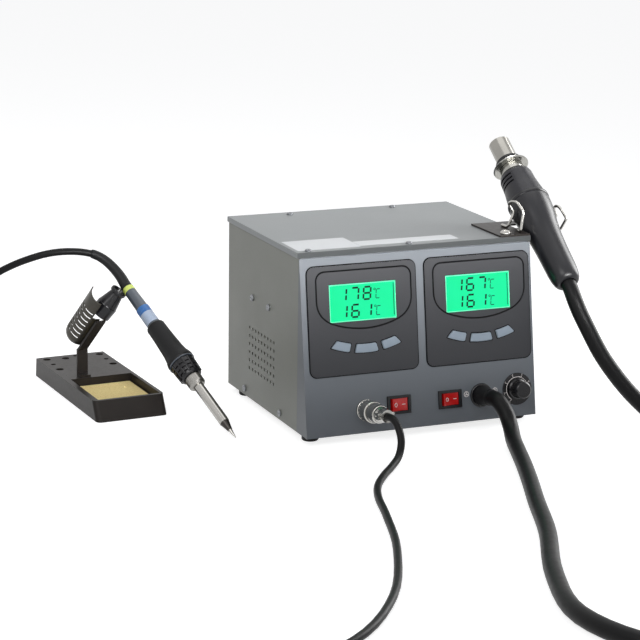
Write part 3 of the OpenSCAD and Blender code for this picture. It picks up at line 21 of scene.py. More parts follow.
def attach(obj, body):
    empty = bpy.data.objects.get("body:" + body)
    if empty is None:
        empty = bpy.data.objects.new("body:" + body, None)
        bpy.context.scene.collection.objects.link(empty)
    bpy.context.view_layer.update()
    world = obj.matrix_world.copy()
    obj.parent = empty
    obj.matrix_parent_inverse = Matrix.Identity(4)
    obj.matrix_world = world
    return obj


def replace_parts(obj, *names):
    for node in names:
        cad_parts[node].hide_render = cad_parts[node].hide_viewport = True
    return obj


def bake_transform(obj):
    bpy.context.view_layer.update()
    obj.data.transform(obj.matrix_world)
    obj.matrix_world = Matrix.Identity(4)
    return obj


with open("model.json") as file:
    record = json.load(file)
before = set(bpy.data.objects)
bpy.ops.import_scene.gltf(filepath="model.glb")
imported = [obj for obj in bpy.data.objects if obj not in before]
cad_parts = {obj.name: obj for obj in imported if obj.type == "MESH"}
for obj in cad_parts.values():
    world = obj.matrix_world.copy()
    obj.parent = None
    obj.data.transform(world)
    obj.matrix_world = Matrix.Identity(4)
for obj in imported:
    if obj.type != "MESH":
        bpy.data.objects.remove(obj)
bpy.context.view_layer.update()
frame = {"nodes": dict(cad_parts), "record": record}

log = logging.getLogger("rework_station")

MM = 0.001
UM = 1e-6
PER_METRE = 1000
FULL_TURN = 2 * math.pi
Point = tuple[float, float, float]
Flat = tuple[float, float]


class Slot(Enum):
    """Material slots of the record that pieces take their finish from."""

    CASE = "case_grey"
    COVER = "cover_grey"
    LACQUER = "black_paint"
    CHARCOAL = "charcoal"
    KEY = "key_grey"
    NYLON = "nylon"
    PUMP = "pump_white"
    GLOSS = "gloss_black"
    LCD = "lcd_green"
    RED = "switch_red"
    BOARD = "board_green"
    CERAMIC = "ceramic"
    RING = "ring_yellow"
    HANDLE = "handle_blue"
    RUBBER = "rubber_black"
    STEEL = "steel"
    DARK_STEEL = "dark_steel"
    CHROME = "chrome"
    SPONGE = "sponge_tan"


# ---------------------------------------------------------------- finishes


def linear(hex_colour: str) -> tuple[float, float, float, float]:
    """Turns an sRGB hex colour into a linear one.

    Args:
        hex_colour: the colour, such as "#8b8f94".

    Returns:
        Red, green, blue and an alpha of one.
    """
    parts = [int(hex_colour[i:i + 2], 16) / 255 for i in (1, 3, 5)]
    low = [c / 12.92 if c <= 0.04045 else ((c + 0.055) / 1.055) ** 2.4 for c in parts]
    return (low[0], low[1], low[2], 1.0)


def add_node(tree: NodeTree, kind: str, settings: Optional[dict] = None,
             links: Optional[dict] = None) -> Node:
    """Adds a node with its settings and links.

    Args:
        tree: the node tree that it joins.
        kind: the node's type name after "ShaderNode".
        settings: properties by name, or input values by name or index.
        links: output sockets that feed inputs, by the input's name or index.

    Returns:
        The new node.
    """
    node = tree.nodes.new(f"ShaderNode{kind}")
    for key, value in (settings or {}).items():
        if isinstance(key, str) and hasattr(node, key):
            setattr(node, key, value)
        else:
            node.inputs[key].default_value = value
    for key, source in (links or {}).items():
        tree.links.new(source, node.inputs[key])
    return node


def new_tree(name: str) -> tuple[Material, NodeTree]:
    """Makes a material with an empty node tree.

    Args:
        name: the material's name.

    Returns:
        The material and its tree.
    """
    material = bpy.data.materials.new(name)
    material.use_nodes = True
    material.node_tree.nodes.clear()
    return material, material.node_tree


@dataclass(frozen=True)
class Finish:
    """A surface: what it is made of, how it was made and what that gives the eye.

    The colour drifts slowly between colour and tint over patches of patch_mm, the roughness
    swings with it, and a grain of grain_mm stands grain_um high. A turned surface has fine
    rings of ring_mm along its axis instead of the grain.
    """

    name: str
    slot: Slot
    colour: str
    tint: str
    rough: float
    swing: float = 0.05
    patch_mm: float = 30.0
    grain_mm: float = 0.5
    grain_um: float = 12.0
    metallic: float = 0.0
    ior: float = 1.5
    coat: float = 0.0
    coat_rough: float = 0.1
    axis: Optional[Point] = None
    ring_mm: float = 0.35

    def make(self) -> Material:
        """Builds the material.

        Returns:
            The material.
        """
        material, tree = new_tree(self.name)
        where = add_node(tree, "TexCoord").outputs["Object"]
        patch = add_node(tree, "TexNoise",
                         {"Scale": PER_METRE / self.patch_mm, "Detail": 3.0, "Roughness": 0.55},
                         {"Vector": where}).outputs["Fac"]
        colour = add_node(tree, "Mix",
                          {"data_type": "RGBA", 6: linear(self.colour), 7: linear(self.tint)},
                          {0: patch}).outputs[2]
        if self.axis:
            along = add_node(tree, "VectorMath", {"operation": "DOT_PRODUCT", 1: self.axis},
                             {0: where}).outputs["Value"]
            grain = add_node(tree, "TexNoise",
                             {"noise_dimensions": "1D", "Scale": PER_METRE / self.ring_mm,
                              "Detail": 2.0}, {"W": along}).outputs["Fac"]
        else:
            grain = add_node(tree, "TexNoise", {"Scale": PER_METRE / self.grain_mm, "Detail": 2.0},
                             {"Vector": where}).outputs["Fac"]
        both = add_node(tree, "Math", {"operation": "ADD"}, {0: patch, 1: grain}).outputs[0]
        rough = add_node(tree, "MapRange",
                         {"From Min": 0.6, "From Max": 1.4, "To Min": self.rough - self.swing,
                          "To Max": self.rough + self.swing}, {"Value": both}).outputs[0]
        bump = add_node(tree, "Bump",
                        {"Strength": 1.0, "Distance": self.grain_um * UM},
                        {"Height": grain}).outputs["Normal"]
        shader = add_node(tree, "BsdfPrincipled",
                          {"Metallic": self.metallic, "IOR": self.ior, "Coat Weight": self.coat,
                           "Coat Roughness": self.coat_rough},
                          {"Base Color": colour, "Roughness": rough, "Normal": bump})
        add_node(tree, "OutputMaterial", links={"Surface": shader.outputs[0]})
        return material


@dataclass(frozen=True)
class LitDisplay:
    """Backlit liquid crystal glass: an even green glow that is a little paler in soft clouds."""

    name: str = "backlit_display_glass"
    slot: Slot = Slot.LCD
    colour: str = "#00ff9e"
    pale: str = "#12ffb4"
    unlit: str = "#04130c"
    cloud_mm: float = 24.0
    glow: float = 0.93

    def make(self) -> Material:
        """Builds the material.

        Returns:
            The material.
        """
        material, tree = new_tree(self.name)
        where = add_node(tree, "TexCoord").outputs["Object"]
        cloud = add_node(tree, "TexNoise", {"Scale": PER_METRE / self.cloud_mm, "Detail": 1.0},
                         {"Vector": where}).outputs["Fac"]
        green = add_node(tree, "Mix",
                         {"data_type": "RGBA", 6: linear(self.colour), 7: linear(self.pale)},
                         {0: cloud}).outputs[2]
        shader = add_node(tree, "BsdfPrincipled",
                          {"Base Color": linear(self.unlit), "Roughness": 0.15, "IOR": 1.3,
                           "Emission Strength": self.glow},
                          {"Emission Color": green})
        add_node(tree, "OutputMaterial", links={"Surface": shader.outputs[0]})
        return material


@dataclass(frozen=True)
class CellulosePores:
    """Cellulose sponge, cast and dried: pale tan with pores of two sizes and soft stains. The pores are
    drawn in a darker tan, which is painted shade in them.
    """

    name: str = "cellulose_sponge"
    slot: Slot = Slot.SPONGE
    colour: str = "#f0dda0"
    stain: str = "#e6d08f"
    # Darker tan of the pores: painted shade in them
    pore: str = "#cdb576"
    stain_mm: float = 22.0
    large_mm: float = 1.6
    small_mm: float = 0.7
    pore_um: float = 90.0

    def make(self) -> Material:
        """Builds the material.

        Returns:
            The material.
        """
        material, tree = new_tree(self.name)
        where = add_node(tree, "TexCoord").outputs["Object"]
        patch = add_node(tree, "TexNoise", {"Scale": PER_METRE / self.stain_mm, "Detail": 4.0},
                         {"Vector": where}).outputs["Fac"]
        body = add_node(tree, "Mix",
                        {"data_type": "RGBA", 6: linear(self.colour), 7: linear(self.stain)},
                        {0: patch}).outputs[2]
        heights = []
        for size in (self.large_mm, self.small_mm):
            cells = add_node(tree, "TexVoronoi", {"Scale": PER_METRE / size},
                             {"Vector": where}).outputs["Distance"]
            heights.append(add_node(tree, "MapRange", {"From Min": 0.05, "From Max": 0.42},
                                    {"Value": cells}).outputs[0])
        height = add_node(tree, "Math", {"operation": "MULTIPLY"},
                          {0: heights[0], 1: heights[1]}).outputs[0]
        # The pores take the darker tan: painted shade where the surface sinks
        colour = add_node(tree, "Mix", {"data_type": "RGBA", 6: linear(self.pore)},
                          {0: height, 7: body}).outputs[2]
        bump = add_node(tree, "Bump", {"Strength": 0.7, "Distance": self.pore_um * UM},
                        {"Height": height}).outputs["Normal"]
        shader = add_node(tree, "BsdfPrincipled", {"Roughness": 0.92, "IOR": 1.4},
                          {"Base Color": colour, "Normal": bump})
        add_node(tree, "OutputMaterial", links={"Surface": shader.outputs[0]})
        return material


AnyFinish = Finish | LitDisplay | CellulosePores


def material_of(finish: AnyFinish) -> Material:
    """Finds the material of a finish, which is built at its first use.

    Args:
        finish: the finish.

    Returns:
        Its material.
    """
    return bpy.data.materials.get(finish.name) or finish.make()


# Axes of the turned pieces, as directions in the frame of the part
GUN_AXIS: Point = (0.0, -0.8028, -0.5962)
IRON_AXIS: Point = (-0.2594, 0.7935, 0.5505)

# Where grain_mm or ring_mm is under 1.3, the real grain is too fine to show in the render, so it is
# drawn as coarse as it needs to show. The longer ones are slow waves in the surface

# Powder coat on steel sheet: satin, with the orange peel of a baked powder. Its three greys are lit and
# shaded copies of one powder: this darkest one is painted shade for the leaning front
PANEL_POWDER = Finish(
    "powder_coated_panel_grey", Slot.CASE, "#63686e", "#5e6369", rough=0.42, patch_mm=70, grain_mm=0.9)
# The same powder on the folded case: a warmer, lighter grey, painted light and shade for the sides
CASE_POWDER = Finish(
    "powder_coated_steel_grey", Slot.CASE, "#767870", "#70726b", rough=0.42, patch_mm=70, grain_mm=0.9)
# The same powder on the cover: the palest grey of the three, painted light for the top
COVER_POWDER = Finish(
    "powder_coated_steel_pale", Slot.COVER, "#9b9fa0", "#949899", rough=0.44, patch_mm=80, grain_mm=0.9)
# Black lacquer on cast metal: soft gloss over a slightly brown body
LACQUER = Finish(
    "black_lacquer_on_metal", Slot.LACQUER, "#282524", "#322e2b", rough=0.32, patch_mm=40, grain_mm=2.5,
    grain_um=5, ior=1.2)
# Printed polycarbonate film: charcoal and satin, with a fine emboss
CHARCOAL_FILM = Finish(
    "printed_polycarbonate_film", Slot.CHARCOAL, "#2b2c30", "#26272b", rough=0.36, swing=0.04,
    patch_mm=40, grain_mm=0.35, grain_um=5, ior=1.42)
# Moulded ABS caps: pale blue-grey with an even spark-eroded texture
KEY_ABS = Finish(
    "moulded_abs_pale_grey", Slot.KEY, "#808c98", "#798591", rough=0.42, patch_mm=12, grain_um=10)
# Moulded black ABS: polished mould, so it mirrors softly
GLOSS_ABS = Finish(
    "moulded_abs_black", Slot.GLOSS, "#0f0f12", "#151518", rough=0.22, patch_mm=25, grain_mm=1.2,
    grain_um=5, ior=1.42)
# Moulded black nylon of the gun: dark with a blue cast, satin from a fine spark texture
GUN_NYLON = Finish(
    "moulded_nylon_black", Slot.GLOSS, "#131318", "#19191e", rough=0.3, grain_mm=0.6, grain_um=7,
    ior=1.42)
# The gun's grip in the same nylon, a little darker
GRIP_NYLON = Finish(
    "moulded_nylon_grip", Slot.RUBBER, "#111114", "#17171b", rough=0.32, grain_mm=0.6, grain_um=7,
    ior=1.42)
# Soft rubber: matt and a little greyer in patches
SOFT_RUBBER = Finish(
    "moulded_rubber_black", Slot.RUBBER, "#0d0d0e", "#131314", rough=0.5, swing=0.08, patch_mm=18,
    grain_um=18, ior=1.3)
# Painted shade in the grooves and gaps of the front: a matt black that stands in for the shade in a gap
GAP_SHADE = Finish(
    "painted_gap_shade", Slot.RUBBER, "#050506", "#08080a", rough=0.6, patch_mm=10, grain_um=4,
    ior=1.2)
# Extruded PVC jacket: smooth and satin with slow waves along it
CORD_PVC = Finish(
    "extruded_pvc_black", Slot.RUBBER, "#0b0b0c", "#101011", rough=0.42, swing=0.06, patch_mm=40,
    grain_mm=3.5, grain_um=8, ior=1.25)
# Red polycarbonate rocker: clear red moulding, glossy
RED_PC = Finish(
    "moulded_polycarbonate_red", Slot.RED, "#cc100e", "#bb0c0b", rough=0.24, swing=0.04, patch_mm=9,
    grain_mm=1.2, grain_um=5, coat=0.4, coat_rough=0.08)
# White printing ink on plastic
WHITE_INK = Finish(
    "white_printing_ink", Slot.NYLON, "#efe9e6", "#e4ddda", rough=0.5, patch_mm=5, grain_mm=0.4,
    grain_um=6)
# Plain self-adhesive film on the cover: pale, smooth and satin
BARE_LABEL = Finish(
    "plain_label_film", Slot.NYLON, "#c6c9cb", "#bfc2c4", rough=0.34, grain_mm=0.8, grain_um=5)
# Plain film on the iron's handle: blue-grey and a little glossy
HANDLE_LABEL = Finish(
    "plain_label_film_blue", Slot.HANDLE, "#9fadc2", "#929fb3", rough=0.26, patch_mm=8, grain_mm=0.8,
    grain_um=5)
# Band printed round the handle: clear blue and a little glossy
HANDLE_BAND = Finish(
    "printed_band_blue", Slot.HANDLE, "#2e66a8", "#26578f", rough=0.26, patch_mm=8, grain_mm=0.8,
    grain_um=5)
# Liquid crystal segments: matt and nearly black green; the same ink draws a painted shadow line inside
# the glass's edge. The pale line at the glass's edge is painted light
SEGMENT_INK = Finish(
    "liquid_crystal_segment", Slot.LCD, "#02150d", "#031a11", rough=0.6, swing=0.03, patch_mm=6,
    grain_mm=0.6, grain_um=2, ior=1.2)
EDGE_GLOW = Finish(
    "display_edge_light", Slot.LCD, "#9dffe0", "#7cf5cd", rough=0.3, swing=0.03, patch_mm=6,
    grain_mm=0.6, grain_um=2)
# Chromium plate over brass and spring wire: a soft mirror
CHROME = Finish(
    "chromium_plate", Slot.CHROME, "#bdbbb6", "#aeaca8", rough=0.16, patch_mm=12, grain_mm=0.8,
    grain_um=2, metallic=1.0)
# Turned stainless steel of the nozzle: bright, with fine rings round its axis
GUN_STEEL = Finish(
    "turned_stainless_gun", Slot.STEEL, "#a09e98", "#8f8d88", rough=0.2, swing=0.07, patch_mm=14,
    grain_um=3, metallic=1.0, axis=GUN_AXIS)
# Turned and polished flange and collar: shallower rings and a clearer mirror
GUN_CHROME = Finish(
    "turned_polished_flange", Slot.CHROME, "#a6a5a0", "#979691", rough=0.16, patch_mm=14, grain_um=2,
    metallic=1.0, axis=GUN_AXIS)
# Turned stainless barrel of the iron: bright, with its own fine rings
IRON_STEEL = Finish(
    "turned_stainless_iron", Slot.STEEL, "#b0aeaa", "#a19f9b", rough=0.2, swing=0.07, patch_mm=10,
    grain_um=3, metallic=1.0, axis=IRON_AXIS)
# Turned steel nut: the same rings in a duller metal
IRON_NUT = Finish(
    "turned_steel_nut", Slot.DARK_STEEL, "#9b9995", "#8a8884", rough=0.3, swing=0.08, patch_mm=6,
    grain_um=4, metallic=1.0, axis=IRON_AXIS)
# Turned copper tip under iron plate: dark and patchy from heat
TIP_METAL = Finish(
    "oxidised_copper_tip", Slot.DARK_STEEL, "#4b4947", "#34312f", rough=0.34, swing=0.1, patch_mm=5,
    grain_um=6, metallic=1.0, axis=IRON_AXIS)
# Zinc plate on screws: grey with darker patches
SCREW_STEEL = Finish(
    "zinc_plated_screws", Slot.STEEL, "#9a9c9f", "#5c5f63", rough=0.3, swing=0.08, patch_mm=4,
    grain_mm=0.4, grain_um=6, metallic=1.0)
# Phosphated steel: charcoal and nearly matt
DARK_STEEL = Finish(
    "phosphated_steel", Slot.DARK_STEEL, "#4a4947", "#3b3a38", rough=0.42, swing=0.08, patch_mm=8,
    grain_um=10, metallic=0.8)
# Sheet steel of the slotted shield: a dark brown-grey that is partly painted shade, and still mirrors a
# little
SHIELD_STEEL = Finish(
    "sheet_steel_painted_shade", Slot.DARK_STEEL, "#4b4842", "#3a3833", rough=0.36, swing=0.08, patch_mm=14,
    grain_mm=0.6, grain_um=10, metallic=0.85)
# Nickel plate on the plug's clamp: a soft, warm mirror
CLAMP_STEEL = Finish(
    "nickel_plated_clamp", Slot.DARK_STEEL, "#b9b8b4", "#a2a19d", rough=0.2, swing=0.06, patch_mm=5,
    grain_um=5, metallic=1.0)
# Lacquered handle tube: dark blue-grey with a soft gloss
HANDLE_TUBE = Finish(
    "lacquered_tube_blue", Slot.HANDLE, "#3a4048", "#4a525c", rough=0.22, patch_mm=12, grain_mm=0.8,
    grain_um=5, coat=0.3)
# Moulded ring at the end of the handle: yellow-green with a soft gloss
RING_ABS = Finish(
    "moulded_ring_yellow_green", Slot.RING, "#c3d06a", "#b6c45c", rough=0.25, patch_mm=5, grain_mm=0.6,
    grain_um=5)
# Solder mask on glass fibre board: dark green and a little glossy
SOLDER_MASK = Finish(
    "solder_mask_green", Slot.BOARD, "#1f5a35", "#18492b", rough=0.3, swing=0.06, patch_mm=7,
    grain_mm=0.9, coat=0.3)
# Natural nylon spacers: milky and satin
NYLON = Finish(
    "moulded_nylon_natural", Slot.NYLON, "#e3dccb", "#d8d0bd", rough=0.5, patch_mm=9, grain_um=8)
# Fired steatite of the heater: cream and nearly matt
CERAMIC = Finish(
    "fired_steatite", Slot.CERAMIC, "#e6dfcf", "#d9d0be", rough=0.55, swing=0.06, patch_mm=7,
    grain_mm=0.4)
# Moulded pump housing: off-white and satin
PUMP_ABS = Finish(
    "moulded_pump_housing", Slot.PUMP, "#d8d7d0", "#cccbc3", rough=0.48, swing=0.06, patch_mm=25,
    grain_mm=0.7, grain_um=14)
# Varnished sheets of the transformer: brown-grey, with a line at each sheet
CORE_STEEL = Finish(
    "varnished_laminations", Slot.DARK_STEEL, "#5a554f", "#45413c", rough=0.45, swing=0.08, patch_mm=12,
    grain_um=25, metallic=0.5, axis=(1.0, 0.0, 0.0), ring_mm=0.7)
LIT = LitDisplay()
SPONGE = CellulosePores()


# ---------------------------------------------------------------- places and meshes


def place(at: Point = (0, 0, 0), turn: Point = (0, 0, 0)) -> Matrix:
    """Makes a placing matrix in millimetres, which turns first and then moves.

    Args:
        at: where the local origin goes.
        turn: turns about X, Y and Z, in degrees.

    Returns:
        The matrix.
    """
    return Matrix.Translation(at) @ Euler([math.radians(a) for a in turn]).to_matrix().to_4x4()


# The middle of the case lies here in the frame of the part, and the bench at zero
BENCH = place((51.2, -29.8, 0.0))
# Outside of the case, its top over the bench, and the upper edge and the lean of its front
CASE_TOP = 154.5
CASE_HALF_W = 105.0
PANEL_TOP_Y = -79.3
PANEL_LEAN = 8.314
# Each tool stands on its own axis, from its mouth or tip to its cord
GUN = BENCH @ place((121, 12.2, 216.5), (126.6, 0, 0))
IRON = BENCH @ place((-149.6, -61.1, 0.8), (0, 56.6, 108.1))


def on_panel(u: float, v: float, out: float = 0.0) -> Matrix:
    """Makes a place on the leaning front: X to the right, Y up the slope and Z out of it.

    Args:
        u: millimetres from the left edge.
        v: millimetres down the slope.
        out: millimetres over the sheet.

    Returns:
        The placing matrix.
    """
    return (BENCH @ place((-CASE_HALF_W, PANEL_TOP_Y, CASE_TOP), (90 - PANEL_LEAN, 0, 0))
            @ place((u, -v, out)))


def rounded(points: Sequence[Point], cut: float, steps: int = 5) -> list[Vector]:
    """Bends the corners of a route.

    Args:
        points: the corners, in millimetres.
        cut: how far from its corner each bend starts.
        steps: pieces of each bend.

    Returns:
        The route with its bends.
    """
    p = [Vector(q) for q in points]
    route = [p[0]]
    for before, here, after in zip(p, p[1:], p[2:]):
        start = here + (before - here).normalized() * cut
        end = here + (after - here).normalized() * cut
        for k in range(steps + 1):
            t = k / steps
            route.append(start * (1 - t) ** 2 + here * 2 * t * (1 - t) + end * t * t)
    return route + [p[-1]]


def smooth(points: Sequence[Point], steps: int) -> list[Vector]:
    """Runs a smooth curve through every point of a route.

    Args:
        points: points of the route.
        steps: pieces between two of them.

    Returns:
        Points of the curve.
    """
    p = [Vector(q) for q in points]
    curve = []
    for i in range(len(p) - 1):
        a, b, c, d = p[max(i - 1, 0)], p[i], p[i + 1], p[min(i + 2, len(p) - 1)]
        for j in range(steps):
            t = j / steps
            curve.append(0.5 * (2 * b + (c - a) * t + (2 * a - 5 * b + 4 * c - d) * t * t
                                + (3 * b - a - 3 * c + d) * t ** 3))
    return curve + [p[-1]]


def round_rect(width: float, height: float, radius: float, steps: int = 8) -> list[Flat]:
    """Draws a rectangle with round corners about its middle, anticlockwise.

    Args:
        width: its size along X.
        height: its size along Y.
        radius: radius of its corners.
        steps: pieces of each corner.

    Returns:
        Points of the outline.
    """
    outline = []
    for k, (sx, sy) in enumerate(((1, 1), (-1, 1), (-1, -1), (1, -1))):
        for j in range(steps + 1):
            a = math.radians(90 * (k + j / steps))
            outline.append((sx * (width / 2 - radius) + radius * math.cos(a),
                            sy * (height / 2 - radius) + radius * math.sin(a)))
    return outline


def ellipse(half_width: float, half_height: float, steps: int) -> list[Flat]:
    """Draws an ellipse about its middle, anticlockwise.

    Args:
        half_width: half its size along X.
        half_height: half its size along Y.
        steps: how many points it has.

    Returns:
        Points of the outline.
    """
    return [(half_width * math.cos(a), half_height * math.sin(a))
            for a in (FULL_TURN * k / steps for k in range(steps))]


def lathe(profile: Sequence[Flat], steps: int = 72) -> BMesh:
    """Turns a closed profile about the Z axis.

    Args:
        profile: radii and heights of its points.
        steps: facets of the full turn.

    Returns:
        The solid.
    """
    bm = bmesh.new()
    verts = [bm.verts.new((r, 0, z)) for r, z in profile]
    for a, b in zip(verts, verts[1:] + verts[:1]):
        if a.co.x > 1e-6 or b.co.x > 1e-6:
            bm.edges.new((a, b))
    bmesh.ops.spin(bm, geom=verts + list(bm.edges), cent=(0, 0, 0), axis=(0, 0, 1), dvec=(0, 0, 0),
                   angle=FULL_TURN, steps=steps, use_merge=True, use_duplicate=False)
    bmesh.ops.remove_doubles(bm, verts=bm.verts, dist=1e-4)
    return bm


def slab(outline: Sequence[Flat], low: float, high: float) -> BMesh:
    """Extrudes a flat outline.

    Args:
        outline: its points, anticlockwise.
        low: height of the lower face.
        high: height of the upper face.

    Returns:
        The solid.
    """
    bm = bmesh.new()
    face = bm.faces.new([bm.verts.new((x, y, low)) for x, y in outline])
    grown = bmesh.ops.extrude_face_region(bm, geom=[face])["geom"]
    bmesh.ops.translate(bm, vec=(0, 0, high - low),
                        verts=[g for g in grown if isinstance(g, BMVert)])
    return bm


def block(width: float, depth: float, height: float) -> BMesh:
    """Makes a box about the middle of its floor.

    Args:
        width: its size along X.
        depth: its size along Y.
        height: its size along Z.

    Returns:
        The solid.
    """
    bm = bmesh.new()
    bmesh.ops.create_cube(bm, size=1.0, matrix=place((0, 0, height / 2))
                          @ Matrix.Diagonal((width, depth, height, 1)))
    return bm


def bevel_sharp(bm: BMesh, width: float, segments: int = 2, angle: float = 28.0) -> None:
    """Rounds the sharp edges of a mesh.

    Args:
        bm: the mesh.
        width: width of the rounding, in the mesh's unit.
        segments: facets of the rounding.
        angle: edges that turn more than this are rounded, in degrees.
    """
    limit = math.radians(angle)
    edges = [e for e in bm.edges if len(e.link_faces) == 2 and e.calc_face_angle(0) > limit]
    bmesh.ops.bevel(bm, geom=edges, offset=width, offset_type="OFFSET", segments=segments,
                    profile=0.5, affect="EDGES", clamp_overlap=True, material=-1)


def add_object(name: str, data: ID) -> Object:
    """Puts an object into the scene.

    Args:
        name: its name.
        data: its mesh, curve, lamp or camera.

    Returns:
        The object.
    """
    thing = bpy.data.objects.new(name, data)
    bpy.context.scene.collection.objects.link(thing)
    return thing


def mesh_of(bm: BMesh, name: str) -> Mesh:
    """Makes a mesh of a bmesh.

    Args:
        bm: the bmesh, which is freed.
        name: the mesh's name.

    Returns:
        The mesh.
    """
    mesh = bpy.data.meshes.new(name)
    bm.to_mesh(mesh)
    bm.free()
    return mesh


def mesh_of_curve(curve: Curve) -> Mesh:
    """Makes a mesh of a curve or text.

    Args:
        curve: the curve, which is removed.

    Returns:
        The mesh.
    """
    holder = add_object(curve.name, curve)
    bpy.context.view_layer.update()
    depsgraph = bpy.context.evaluated_depsgraph_get()
    mesh = bpy.data.meshes.new_from_object(holder.evaluated_get(depsgraph))
    bpy.data.objects.remove(holder)
    bpy.data.curves.remove(curve)
    return mesh


def tube_mesh(route: Sequence[Vector], radii: Sequence[float], closed: bool = False,
              resolution: int = 6) -> Mesh:
    """Sweeps a round tube along a route.

    Args:
        route: points of its middle line.
        radii: one radius for each point.
        closed: whether the route is a loop.
        resolution: fineness of the round section.

    Returns:
        The mesh, in the unit of the route.
    """
    curve = bpy.data.curves.new("route", "CURVE")
    curve.dimensions = "3D"
    curve.bevel_depth = 1.0
    curve.bevel_resolution = resolution
    curve.use_fill_caps = not closed
    spline = curve.splines.new("POLY")
    spline.points.add(len(route) - 1)
    spline.use_cyclic_u = closed
    spline.use_smooth = True
    for point, at, radius in zip(spline.points, route, radii):
        point.co = (at[0], at[1], at[2], 1.0)
        point.radius = radius
    return mesh_of_curve(curve)


def add_piece(name: str, mesh: Mesh, finish: AnyFinish, body: Optional[str],
              crease: float = 35.0) -> Object:
    """Puts a finished mesh into the scene as a piece.

    Args:
        name: the piece's name.
        mesh: its mesh, in metres and in place.
        finish: its finish.
        body: the CAD body that it rides on, or None, which leaves it on no body.
        crease: edges that turn more than this stay sharp, in degrees.

    Returns:
        The piece.
    """
    mesh.name = name
    mesh.materials.clear()
    mesh.materials.append(material_of(finish))
    mesh.polygons.foreach_set("use_smooth", [True] * len(mesh.polygons))
    mesh.set_sharp_from_angle(angle=math.radians(crease))
    piece = add_object(name, mesh)
    if body:
        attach(piece, body)
    log.info("piece %s: %d faces, %s", name, len(mesh.polygons), finish.name)
    return piece


def add_solid(name: str, bm: BMesh, at: Matrix, finish: AnyFinish, body: str,
              bevel: float = 0.0, segments: int = 2, crease: float = 35.0) -> Object:
    """Adds a solid that is modelled in millimetres and puts it in its place.

    Args:
        name: the piece's name.
        bm: its mesh, in local millimetres.
        at: the placing matrix, in millimetres.
        finish: its finish.
        body: the CAD body that it rides on.
        bevel: rounding of its edges in millimetres, or none.
        segments: facets of that rounding.
        crease: edges that turn more than this stay sharp, in degrees.

    Returns:
        The piece.
    """
    bmesh.ops.recalc_face_normals(bm, faces=bm.faces)
    if bevel:
        bevel_sharp(bm, bevel, segments)
    bm.transform(Matrix.Scale(MM, 4) @ at)
    return add_piece(name, mesh_of(bm, name), finish, body, crease)


def add_tube(name: str, route: Sequence[Vector], radius: float, at: Matrix, finish: AnyFinish,
             body: Optional[str], end_radius: Optional[float] = None, closed: bool = False,
             resolution: int = 6) -> Object:
    """Adds a round tube, wire, bead or ring.

    Args:
        name: the piece's name.
        route: points of its middle line, in local millimetres.
        radius: its radius.
        at: the placing matrix, in millimetres.
        finish: its finish.
        body: the CAD body that it rides on, or None, which leaves it on no body.
        end_radius: its radius at the far end, where it tapers.
        closed: whether the route is a loop.
        resolution: fineness of the round section.

    Returns:
        The piece.
    """
    last = max(1, len(route) - 1)
    end = radius if end_radius is None else end_radius
    mesh = tube_mesh(route, [radius + (end - radius) * i / last for i in range(len(route))],
                     closed, resolution)
    mesh.transform(Matrix.Scale(MM, 4) @ at)
    return add_piece(name, mesh, finish, body)


def add_ring(name: str, outline: Iterable[Flat], radius: float, at: Matrix, finish: AnyFinish,
             body: str = "station", resolution: int = 2) -> Object:
    """Adds a closed bead or line along a flat outline.

    Args:
        name: the piece's name.
        outline: points of its middle line, in local millimetres.
        radius: its radius.
        at: the placing matrix, in millimetres.
        finish: its finish.
        body: the CAD body that it rides on.
        resolution: fineness of the round section.

    Returns:
        The piece.
    """
    route = [Vector((x, y, 0)) for x, y in outline]
    return add_tube(name, route, radius, at, finish, body, closed=True, resolution=resolution)


# How high white printing stands
INK_T = 0.12


def add_bar(name: str, size: Flat, corner: float, at: Matrix, body: str = "station",
            steps: int = 3, height: float = INK_T) -> Object:
    """Adds a printed bar or dot of white ink about its middle.

    Args:
        name: the piece's name.
        size: its width and height, in millimetres.
        corner: radius of its corners.
        at: the placing matrix, in millimetres.
        body: the CAD body that it rides on.
        steps: pieces of each corner.
        height: how high the ink stands.

    Returns:
        The piece.
    """
    return add_solid(name, slab(round_rect(*size, corner, steps), 0, height), at, WHITE_INK, body)


def level_faces(piece: Object) -> None:
    """Weighs the normals by face area, so that large flat faces stay flat beside round edges.

    Args:
        piece: the piece.
    """
    weighted = piece.modifiers.new("level_faces", "WEIGHTED_NORMAL")
    weighted.mode = "FACE_AREA"
    weighted.weight = 100
    weighted.keep_sharp = True


BODY_OF = {node: body for body, nodes in frame["record"]["behaviour"]["bodies"].items()
           for node in nodes}


def refine(node: str, finish: AnyFinish, bevel: float = 0.3, segments: int = 2,
           crease: float = 32.0) -> Object:
    """Makes a finished copy of a CAD node: merged, with rounded edges and a real finish.

    Args:
        node: the CAD node, which the piece then stands for.
        finish: its finish.
        bevel: rounding of its edges in millimetres, or none.
        segments: facets of that rounding.
        crease: edges that turn more than this stay sharp, in degrees.

    Returns:
        The piece.
    """
    bm = bmesh.new()
    bm.from_mesh(frame["nodes"][node].data)
    bmesh.ops.remove_doubles(bm, verts=bm.verts, dist=2e-6)
    bmesh.ops.dissolve_degenerate(bm, edges=bm.edges, dist=1e-6)
    bmesh.ops.dissolve_limit(bm, angle_limit=math.radians(0.6), verts=bm.verts, edges=bm.edges,
                             use_dissolve_boundaries=False, delimit=set())
    if bevel:
        bevel_sharp(bm, bevel * MM, segments)
    name = f"{node}_finished"
    piece = add_piece(name, mesh_of(bm, name), finish, BODY_OF[node], crease)
    level_faces(piece)
    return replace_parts(piece, node)


def stand_for(piece: Object, *nodes: str) -> Object:
    """Hides the CAD nodes that a new piece stands for.

    Args:
        piece: the piece.
        *nodes: the CAD nodes.

    Returns:
        The piece.
    """
    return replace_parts(piece, *nodes)


# ---------------------------------------------------------------- the setting


